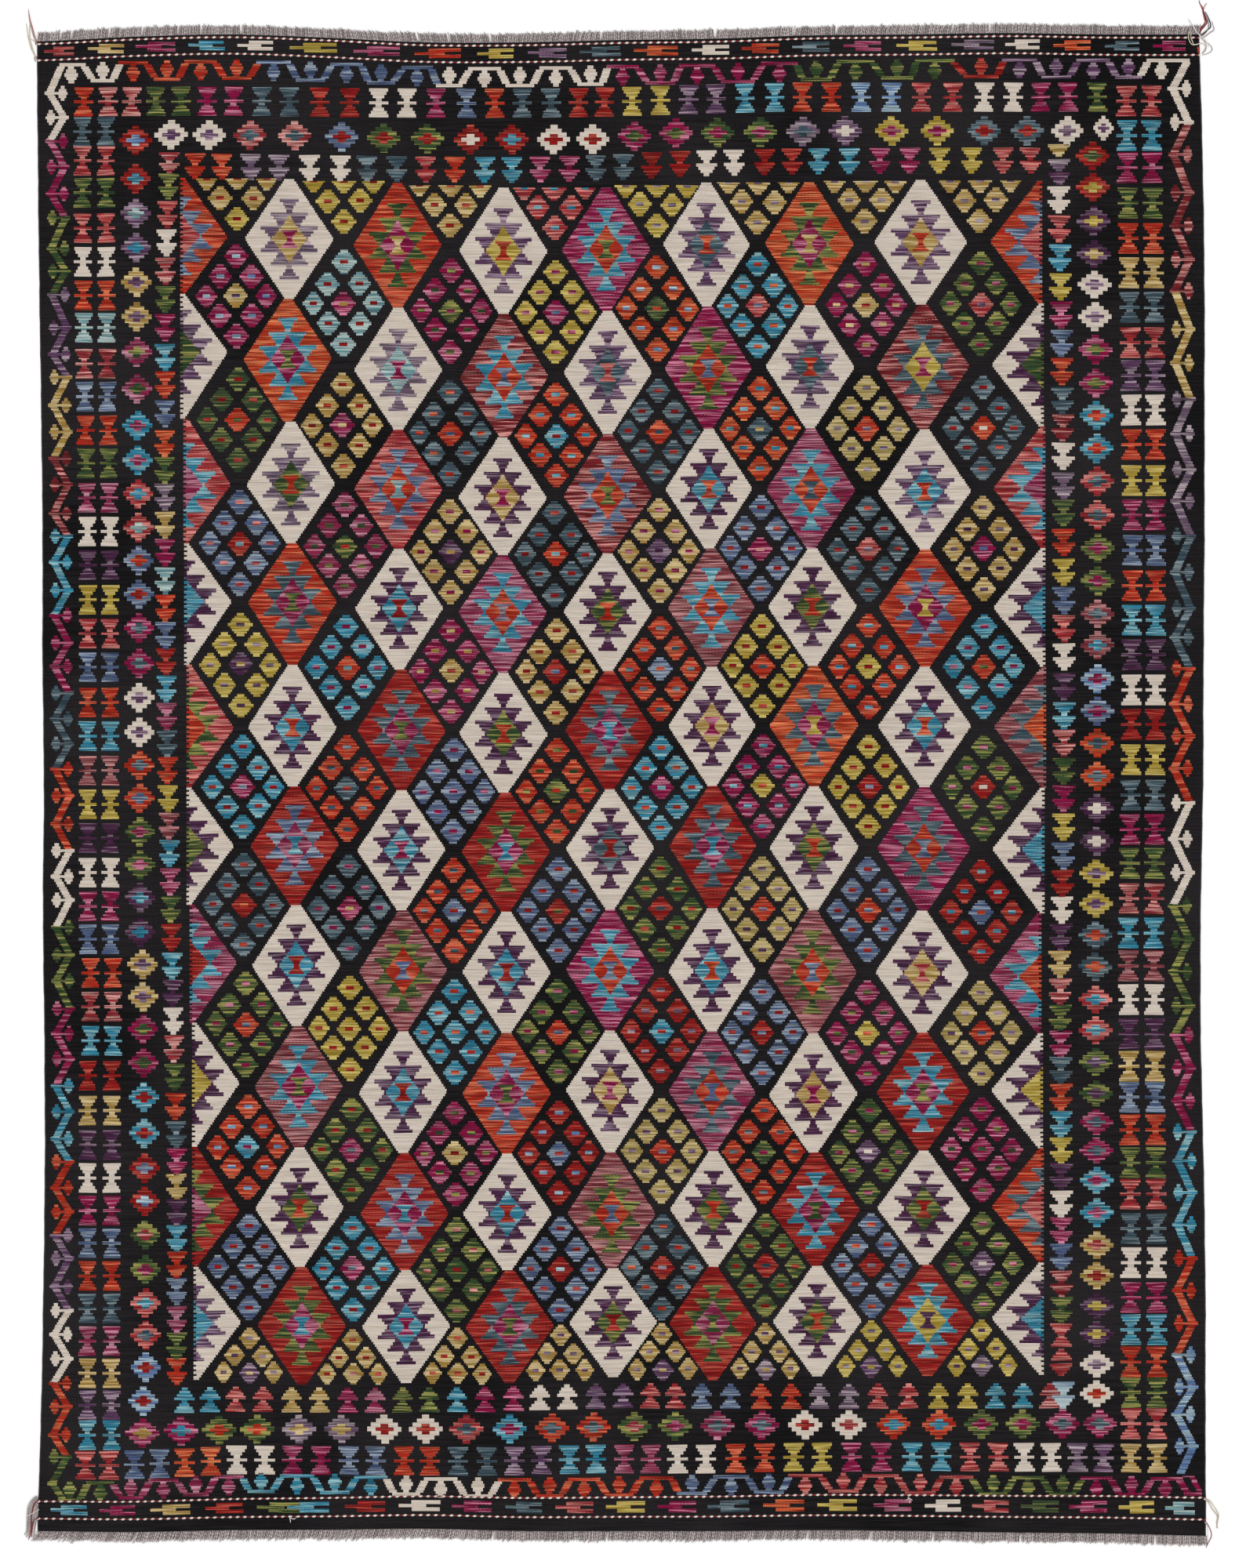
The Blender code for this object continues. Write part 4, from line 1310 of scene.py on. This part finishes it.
def stripMap(piece, low, high):
    # long thin pieces are cut into stacked rows of the map
    mesh, rows = piece.data, longMap["rows"]
    corner = np.zeros(len(mesh.loops), int)
    mesh.loops.foreach_get("vertex_index", corner)
    points = np.zeros(len(mesh.vertices) * 3)
    mesh.vertices.foreach_get("co", points)
    points = points.reshape(-1, 3)
    totals = np.zeros(len(mesh.polygons), int)
    mesh.polygons.foreach_get("loop_total", totals)
    middle = np.add.reduceat(points[corner, 0], np.concatenate([[0], np.cumsum(totals)[:-1]])) / totals
    cell = (high[0] - low[0]) / rows
    fold = np.repeat(np.clip(((middle - low[0]) / cell).astype(int), 0, rows - 1), totals)
    (wide, tall), (spareX, spareY) = longMap["size"], longMap["spare"]
    u = (points[corner, 0] - low[0] - fold * cell) / cell * wide + spareX
    v = ((points[corner, 1] - low[1]) / (high[1] - low[1]) * tall + spareY + fold) / rows
    giveMap(piece, np.stack([np.clip(u, 0, 1), np.clip(v, 0, 1)], axis=1))


def makeTwinedRow(name, materials):
    left = leftEdge(np.array([0.0]))[0] - twining["past"]
    right = rightEdge(np.array([0.0]))[0] + twining["past"]
    left += float(leftEdge(twinedY(name, left)) - leftEdge(0.0))
    right += float(rightEdge(twinedY(name, right)) - rightEdge(0.0))
    count = int((right - left) / twining["turn"] * twining["ringsPerTurn"])
    x = np.linspace(left, right, count)
    y = twinedY(name, x)
    z = clothHeight(x, y)
    (slow, slowTurn), (quick, quickTurn) = twining["wander"]
    wander = slow * np.sin(x * slowTurn + len(name)) + quick * np.sin(x * quickTurn)
    phase = 2 * math.pi * x / twining["turn"] + wander
    points, faces, slots = [], [], []
    for strand, offset in enumerate((0.0, math.pi)):
        at = phase + offset
        lifted = z + twining["raise"][strand] + twining["swingUp"] * np.sin(at)
        centres = np.stack([x, y - twining["swingAcross"] * np.cos(at), lifted], axis=1)
        ahead = np.gradient(centres, axis=0)
        ahead /= np.linalg.norm(ahead, axis=1)[:, None]
        sideways = np.stack([-ahead[:, 1], ahead[:, 0], 0 * x], axis=1)
        sideways /= np.linalg.norm(sideways, axis=1)[:, None]
        upwards = np.cross(ahead, sideways)
        # each strand swells into a grain where it comes over the other
        thinnest = twining["thinnest"][strand]
        fast, late, full = twining["grain"]
        swell = thinnest + (1 - thinnest) * np.clip(fast * np.sin(at) - late, 0, 1) ** full
        wide, tall = twining["halfWidths"][strand] * swell, twining["halfHeight"] * swell
        rings = tube(centres, sideways, upwards, wide, tall, twining["sides"], 0 * at)
        made = tubeFaces(count, twining["sides"], len(points))
        points += rings.reshape(-1, 3).tolist()
        faces += made
        slots += [strand] * len(made)
    name = "twinedRow" + "".join(part.capitalize() for part in name.split("_"))
    piece = makePiece(name, points, faces, materials, smooth=True)
    piece.data.polygons.foreach_set("material_index", slots)
    stripMap(piece, (left, y.min() - twining["mapSpare"]), (right, y.max() + twining["mapSpare"]))
    return piece


fringe = {
    "pitch": 3.9 * mm,
    "halfWidth": 1.75 * mm,
    "halfHeight": 0.9 * mm,
    "plyTurn": 7 * mm,
    "rings": 8,
    "sides": 6,
    "light": (206, 194, 192),
    "dark": (112, 101, 102),
    "fuzzScale": 800.0,
    "fuzzWeight": 0.7,
    "lightFrom": (-0.1, 1.2),
    "roughness": 0.92,
    "shine": 0.2,
    "sheen": 0.2,
    "bump": (0.5, 0.2 * mm),
    "rooted": 2 * mm,  # how far an end starts under the cloth
    "bend": 1.3,  # how late an end leans over
    "bulge": 0.7,  # mm aside in its middle
    "stray": 0.7,  # mm aside from its neighbours at the tip
    "drop": 0.75,  # mm from the root to the tip
    "rest": 1.85,  # mm over the floor at the tip
    "varyRest": 0.3,
    "varyThick": (0.88, 1.08),
    "tipFrom": 0.9,
    "tipWidth": 0.7,
    "anyTurn": 3.14,  # the plies start anywhere in it
    "clump": (4, 18),  # ends that lean alike
    "clumpLean": 0.9,
    "clumpLong": (0.93, 1.05),
    "usualShare": 0.85,  # of the ends
    "usualLong": (0.88, 1.04),
    "straggler": (1.04, 1.16),  # length of the others
    "gapHalf": 1.5,  # steps beside a gap without a lower end
    # the ends that lie below
    "under": {
        "rings": 5,
        "sides": 4,
        "halfWidth": 1.5 * mm,
        "halfHeight": 0.5 * mm,
        "short": 0.86,
        "drop": 1.0,  # mm, as above
        "rest": 0.7,
        "darker": 0.5,  # how much its tone lies in shade
    },
    "parted": 1.7,  # mm that the ends draw aside at a gap
    "partedReach": 7.0,  # steps on each side of it
    # lean: chart step across and mm to the right at the tip; gaps: chart steps where the fringe parts
    "ends": {
        "top": {"length": 18.5 * mm, "out": 1, "seed": 21,
                "lean": """47 2, 140 1.5, 227 2, 257 0.5, 309 0, 430 -3, 560 -4.5, 625 -4, 641 2.5, 760 3.5,
                771 0.5, 830 -1.5, 915 -2, 919 5, 965 4, 1016 2, 1071 2, 1076 4.5, 1150 4, 1220 3.5,
                1245 0.5, 1300 1, 1450 2, 1530 4""",
                "gaps": (77.5, 91, 140, 181, 227.5, 257.5, 309, 537, 577, 629, 771, 916, 1017, 1072, 1220,
                         1241, 1269)},
        "bottom": {"length": 20.5 * mm, "out": -1, "seed": 22,
                   "lean": """47 -13, 90 -9, 160 -7.5, 300 -5, 420 -6.5, 550 -6, 622 -2.5, 640 -1.5,
                   760 -2.5, 850 -3.5, 1020 -4, 1040 -2.5, 1200 -2, 1400 -1.5, 1470 -1, 1535 1.5""",
                   "gaps": (629.5, 774, 976, 1030, 1110, 1190, 1301, 1474)},
    },
}


def makeFringeCotton():
    n = Nodes("fringeCotton")
    tone = n.add("Attribute", attribute_name="tone").outputs["Fac"]
    fuzz = n.noise(n.place, fringe["fuzzScale"], 2.0)
    share = n.fit(n.plus(tone, n.times(fuzz, fringe["fuzzWeight"])), *fringe["lightFrom"])
    return n.finish(n.blend(share, paint(fringe["dark"]), paint(fringe["light"])), fringe, fuzz)


def makeFringe(end, material):
    setting, under = fringe["ends"][end], fringe["under"]
    pick = random.Random(setting["seed"])
    count = int(cloth["width"] / fringe["pitch"])
    points, faces, tones = [], [], []

    def plyEnd(share, lean, long, upper):
        size = fringe if upper else under
        rings, sides = size["rings"], size["sides"]
        rootY = float(topEdge(share) if end == "top" else bottomEdge(share))
        rootX = float(leftEdge(rootY) + (rightEdge(rootY) - leftEdge(rootY)) * share)
        t = np.linspace(0, 1, rings)
        bulge = pick.uniform(-fringe["bulge"], fringe["bulge"]) * mm * np.sin(math.pi * t)
        x = rootX + lean * t ** fringe["bend"] + bulge
        y = rootY + setting["out"] * (long * t - fringe["rooted"] * (1 - t))
        if upper:
            z = size["drop"] * mm * (1 - t) ** 2 + (size["rest"] + pick.uniform(0, size["varyRest"])) * mm
        else:
            z = (size["rest"] + size["drop"] * (1 - t) ** 2) * mm
        centres = np.stack([x, y, z], axis=1)
        flat = np.tile([1.0, 0.0, 0.0], (rings, 1))
        upright = np.tile([0.0, 0.0, 1.0], (rings, 1))
        thin = np.where(t > fringe["tipFrom"], fringe["tipWidth"], 1.0) * pick.uniform(*fringe["varyThick"])
        turn = 0 * t
        if upper:
            turn = math.pi * long * t / fringe["plyTurn"] + pick.uniform(0, fringe["anyTurn"])
        made = tubeFaces(rings, sides, len(points))
        wide, tall = size["halfWidth"] * thin, size["halfHeight"] * thin
        points.extend(tube(centres, flat, upright, wide, tall, sides, turn).reshape(-1, 3).tolist())
        faces.extend(made)
        tone = pick.random() if upper else -under["darker"] + under["darker"] * pick.random()
        tones.extend([tone] * sum(len(face) for face in made))

    left = 0
    for k in range(count):
        if left == 0:
            left = pick.randint(*fringe["clump"])
            clumpLean = pick.uniform(-fringe["clumpLean"], fringe["clumpLean"])
            clumpLong = pick.uniform(*fringe["clumpLong"])
        left -= 1
        share = (k + 0.5) / count
        steps = stepsX(shiftX + (share - 0.5) * cloth["width"])
        gap = min(setting["gaps"], key=lambda place: abs(place - steps))
        near = max(0.0, 1 - abs(steps - gap) / fringe["partedReach"])
        parted = math.copysign(near, steps - gap) * fringe["parted"]
        lean = (readLine(setting["lean"], steps) + clumpLean + parted) * mm
        usual = pick.random() < fringe["usualShare"]
        vary = pick.uniform(*fringe["usualLong"]) if usual else pick.uniform(*fringe["straggler"])
        long = setting["length"] * clumpLong * vary
        plyEnd(share, lean + pick.uniform(-fringe["stray"], fringe["stray"]) * mm, long, True)
        if abs(steps + 1 - gap) > fringe["gapHalf"]:
            plyEnd(share + 0.5 / count, lean, long * under["short"], False)
    piece = makePiece("fringe" + end.capitalize(), points, faces, [material], smooth=True)
    layer = piece.data.attributes.new("tone", "FLOAT", "CORNER")
    layer.data.foreach_set("value", tones)
    box = np.array(points)
    stripMap(piece, box.min(0)[:2], box.max(0)[:2])
    return piece


# each end: the CAD piece it stands for, and its yarns as tone, half thickness in mm, route in chart steps
# and, where it lies over another, the mm that it is lifted
looseYarn = {
    "yarn_end_top_outer_left": (
        ("rose", 1.2, "47.5 56, 44.5 46, 41.7 36, 38.6 25, 36.8 15"),
        ("grey", 1.1, "47.5 57, 43.6 48, 40.4 37, 37.6 25, 36.6 12"),
        ("red", 0.8, "47.8 54, 46 52, 45.2 55, 46.4 58"),
    ),
    "yarn_end_top_inner_left": (
        ("cream", 1.3, "47.5 77, 43.5 69, 39.8 61, 36.8 50, 35 38, 33.4 30"),
        ("cream", 1.2, "47.5 78, 44.5 70, 41.5 61, 38.6 49, 38 40, 38.2 32"),
        ("grey", 0.6, "40.3 50, 43 52, 45.6 54"),
        ("red", 0.8, "47.8 74, 45 72, 44 75, 45.6 79"),
    ),
    "yarn_end_top_outer_right": (
        ("grey", 1.2, "1531.5 47, 1536 43.5, 1540.6 37, 1541.4 31, 1540.2 25, 1537.6 19, 1535 14"),
        ("grey", 1.1, "1532 49, 1537 46.6, 1542.6 42, 1547.4 39, 1548 36, 1546.8 32, 1545.6 27"),
        ("black", 1.2, """1530.6 45, 1534 43, 1539.2 38.8, 1543.4 35, 1543.8 31, 1542.4 26, 1540 20.5,
        1537 15"""),
        ("red", 1.3, """1529.6 44, 1531.6 38.6, 1536 33.4, 1539.2 28, 1537.4 22.6, 1535 16, 1533.4 9.6,
        1530.6 5.4, 1529 0.6"""),
        ("red", 1.1, "1528.6 42, 1530.6 36.4, 1535 31.6, 1537.2 27, 1535.4 21, 1533.8 14, 1533.6 9"),
        ("rose", 0.8, "1530 40.5, 1533.4 35, 1536.6 29, 1535.8 24, 1534.6 17, 1532.6 11, 1529.6 4"),
        ("rose", 0.6, "1534.6 15, 1534.8 10, 1536.4 6.6, 1538.6 3.6"),
        ("grey", 0.5, "1535.4 12, 1536.8 8, 1539.6 4.4"),
    ),
    "yarn_end_top_inner_right": (
        ("cream", 1.1, """1518 38, 1515.2 46.6, 1517.2 53.4, 1521.4 57.4, 1529 55.9, 1534 55.8, 1537.4 59.4,
        1535.6 64.6, 1533 67.4"""),
        ("cream", 1.0, "1520.6 39, 1518.2 46.4, 1520.4 53, 1522 56.4, 1527 57.2"),
        ("grey", 0.9, "1533 49.6, 1536.8 54.6, 1538.4 60, 1537 64.6, 1532.8 69"),
        ("grey", 1.0, "1536 51.6, 1541 55.6, 1545 60, 1545.4 64.4, 1540.8 68, 1533.4 70.4"),
        ("white", 1.2, "1516 25.6, 1522.2 34.6, 1526.8 42, 1532 47, 1536.6 51, 1540 55.6, 1541.4 60", 1.6),
        ("flame", 1.6, "1526.8 60, 1527.6 63.6, 1528 67.6"),
    ),
    "yarn_end_bottom_inner_left": (
        ("grey", 2.0, "47.5 1909, 42 1913, 37 1921, 35.4 1932, 35 1944, 34.4 1953, 31.6 1958"),
        ("grey", 2.0, "47.8 1911, 43.6 1916, 39.2 1924, 37.6 1934, 37.2 1945, 36.4 1955, 33.8 1961"),
        ("grey", 2.0, "48 1914, 45 1920, 41.6 1928, 40 1938, 39.4 1948, 38.6 1958, 36.4 1964"),
        ("red", 1.3, "50 1913, 44 1919, 41 1930, 40.2 1942, 39.6 1952, 37.4 1961", 2.4),
        ("white", 0.8, "50 1925, 44 1928.5, 38.4 1931.8, 33.4 1934", 4.0),
    ),
    "yarn_end_bottom_outer_left": (
        ("grey", 1.9, "48.2 1918, 46.4 1925, 44 1933, 42.4 1942, 41.6 1952, 40.6 1961"),
        ("grey", 1.8, "48.4 1923, 47.6 1931, 46.2 1939, 44.8 1948, 43.8 1957, 42.6 1964"),
        ("red", 1.1, "50 1935.6, 45 1937.4, 42.4 1943, 41.2 1951, 40 1960", 2.4),
        ("white", 0.7, "46 1934, 44.4 1941, 42.8 1950, 41.8 1959", 2.6),
    ),
    "yarn_end_bottom_inner_right": (
        ("cream", 1.4, "1535 1911, 1541 1916, 1546 1925, 1552.5 1934, 1551.8 1943, 1553 1950"),
        ("cream", 1.2, "1535 1912, 1542.6 1914.5, 1549 1923, 1553.8 1932, 1552.6 1942, 1551.4 1949"),
        ("red", 0.7, "1534 1912, 1538.6 1914, 1542 1917.6"),
    ),
    "yarn_end_bottom_outer_right": (
        ("red", 0.9, "1535 1939, 1540.4 1945, 1544.6 1955, 1544.4 1961, 1541.4 1967, 1538 1974"),
        ("white", 0.7, "1536 1941, 1539.8 1947, 1540.2 1958, 1540.8 1968"),
    ),
}
yarnTones = {
    "red": ((150, 28, 40), (96, 14, 24)),
    "cream": ((224, 214, 196), (184, 170, 150)),
    "white": ((238, 234, 228), (204, 196, 188)),
    "grey": ((192, 182, 180), (146, 136, 135)),
    "rose": ((206, 148, 136), (168, 104, 96)),
    "black": ((34, 31, 36), (18, 17, 20)),
    "flame": ((214, 66, 38), (150, 40, 26)),
}
wisps = (  # stray bits of white yarn beside the outer and the inner bottom row
    ("white", 1.0, "368.4 1933, 370 1937, 370.6 1942"),
    ("white", 0.9, "371 1936, 374.4 1937.4, 377.6 1936"),
    ("white", 0.9, "1157.6 1909, 1160 1912.6, 1159.6 1917"),
    ("white", 0.8, "1155.6 1913, 1160 1911.4, 1163.4 1913.6"),
)
yarnShape = {
    "ringPitch": 1.1 * mm,
    "fewestRings": 10,
    "plyTurn": 5.5 * mm,
    "taper": 0.45,  # how much thinner the end is
    "rise": 1.15,  # the middle's height, in half thicknesses
    "swing": (0.52, 0.4),  # of each ply, sideways and up
    "ply": (0.66, 0.6),  # its half width and half height
    "sides": 6,
    "eased": 5,  # rings over which a yarn comes down off the edge
}


def smoothRoute(route, count):
    points = np.array(route, float)
    t = np.linspace(0, 1, count)
    return np.stack([readSmooth(points[:, 0], t), readSmooth(points[:, 1], t)], axis=1)


def yarnRings(half, route, lift):
    # two thin plies wound round the route, lying on what is under it
    route = readPoints(route)
    steps = sum(math.dist(a, b) for a, b in zip(route, route[1:]))
    long = steps * clothWide / chart["size"][0]
    count = max(yarnShape["fewestRings"], int(long / yarnShape["ringPitch"]))
    line = smoothRoute(route, count)
    x, y = chartX(line[:, 0]), chartY(line[:, 1])
    under = onRug(x, y) + lift
    t = np.linspace(0, 1, count)
    ahead = np.gradient(np.stack([x, y], axis=1), axis=0)
    ahead /= np.linalg.norm(ahead, axis=1)[:, None]
    sideways = np.stack([-ahead[:, 1], ahead[:, 0], 0 * x], axis=1)
    upwards = np.tile([0.0, 0.0, 1.0], (count, 1))
    thick = half * mm * (1 - yarnShape["taper"] * t**4)
    middles = np.stack([x, y, under + half * mm * yarnShape["rise"]], axis=1)
    (swingAside, swingUp), (wide, tall) = yarnShape["swing"], yarnShape["ply"]
    made = []
    for offset in (0.0, math.pi):
        turn = 2 * math.pi * long * t / yarnShape["plyTurn"] + offset
        centres = middles + sideways * (swingAside * thick * np.cos(turn))[:, None]
        centres += upwards * (swingUp * thick * np.sin(turn))[:, None]
        made.append(tube(centres, sideways, upwards, wide * thick, tall * thick, yarnShape["sides"], 0 * t))
    return made


def onRug(x, y):
    share = (x - shiftX) / cloth["width"] + 0.5
    inside = (x > leftEdge(y)) & (x < rightEdge(y)) & (y < topEdge(share)) & (y > bottomEdge(share))
    far = np.where(inside, 1.0, 0.0)
    # eased over a few points, so that a yarn slides off the edge without a jump
    reach = yarnShape["eased"]
    eased = np.convolve(np.pad(far, reach // 2, mode="edge"), np.ones(reach) / reach, mode="valid")
    return eased * (clothHeight(x, y) + patternWool["lift"])


def makeYarn(name, yarns, materials):
    points, faces, slots, used = [], [], [], []
    for tone, half, route, *over in yarns:
        if tone not in used:
            used.append(tone)
        for rings in yarnRings(half, route, over[0] * mm if over else 0.0):
            made = tubeFaces(len(rings), yarnShape["sides"], len(points))
            points += rings.reshape(-1, 3).tolist()
            faces += made
            slots += [used.index(tone)] * len(made)
    piece = makePiece(name, points, faces, [materials[tone] for tone in used], smooth=True)
    piece.data.polygons.foreach_set("material_index", slots)
    return piece


studio = {
    "photoSteps": (1589, 2000),  # the picture's frame, in chart steps
    "cameraHeight": 12.0,
    "sensor": 36,
    "farthest": 100,
    "floor": (252, 252, 252),
    "paler": 3,  # how much lighter the floor's grain is
    "grainScale": 3.0,
    "floorRoughness": 0.95,
    "floorHalf": 20.0,
    "world": 0.72,
    "sun": 1.25,
    "sunAngle": 35,
    "sunTurn": (38, 0, 35),
}


def makeStudio():
    scene = bpy.context.scene
    step = clothWide / chart["size"][0]
    wide, tall = studio["photoSteps"]
    camera = bpy.data.objects.new("camera", bpy.data.cameras.new("camera"))
    scene.collection.objects.link(camera)
    camera.location = (chartX(wide / 2), chartY(tall / 2), studio["cameraHeight"])
    camera.data.sensor_width = studio["sensor"]
    camera.data.lens = studio["sensor"] * studio["cameraHeight"] / (tall * step)
    camera.data.clip_end = studio["farthest"]
    scene.camera = camera

    n = Nodes("floorPaint")
    grain = n.noise(n.place, studio["grainScale"], 3.0)
    paler = tuple(min(c + studio["paler"], 255) for c in studio["floor"])
    n.give(n.shader.inputs["Base Color"], n.blend(grain, paint(studio["floor"]), paint(paler)))
    n.shader.inputs["Roughness"].default_value = studio["floorRoughness"]
    n.shader.inputs["Specular IOR Level"].default_value = 0.0
    side = studio["floorHalf"]
    corners = [(-side, -side, 0), (side, -side, 0), (side, side, 0), (-side, side, 0)]
    makePiece("floor", corners, [(0, 1, 2, 3)], [n.material])

    sun = bpy.data.objects.new("keyLight", bpy.data.lights.new("keyLight", "SUN"))
    sun.data.energy = studio["sun"]
    sun.data.angle = math.radians(studio["sunAngle"])
    sun.rotation_euler = [math.radians(turn) for turn in studio["sunTurn"]]
    scene.collection.objects.link(sun)

    world = scene.world or bpy.data.worlds.new("studioWorld")
    scene.world = world
    world.use_nodes = True
    background = world.node_tree.nodes["Background"]
    background.inputs["Color"].default_value = (1, 1, 1, 1)
    background.inputs["Strength"].default_value = studio["world"]
    scene.view_settings.view_transform = "Standard"
    scene.view_settings.look = "None"
    print("studio made")


makeStudio()
ground = makeGroundCloth()
print("ground cloth woven")
bands = makePattern()
print("pattern woven:", len(patches), "patches,", len(walls), "outline edges")

twineMaterials = [makeYarnWool("twineRed", *twining["red"]), makeYarnWool("twineWhite", *twining["white"])]
rows = [makeTwinedRow(name, twineMaterials) for name in twinedRows]
print("twined rows laid")

cotton = makeFringeCotton()
fringes = {end: makeFringe(end, cotton) for end in fringe["ends"]}
print("fringe plied")

yarnMaterials = {}
for tone, tones in yarnTones.items():
    yarnMaterials[tone] = makeYarnWool("yarn" + tone.capitalize(), *tones)
yarnPieces = {}
for node, yarns in looseYarn.items():
    name = "yarnEnd" + "".join(part.capitalize() for part in node.split("_")[2:])
    yarnPieces[node] = makeYarn(name, yarns, yarnMaterials)
strayYarn = makeYarn("strayYarn", wisps, yarnMaterials)
print("loose yarn laid")

for piece in [ground, *bands, *rows, *fringes.values(), *yarnPieces.values(), strayYarn]:
    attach(piece, "root")
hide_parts("kilim_cloth")
for end, piece in fringes.items():
    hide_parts("fringe_" + end)
for node, piece in yarnPieces.items():
    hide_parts(node)

print("rug ready")
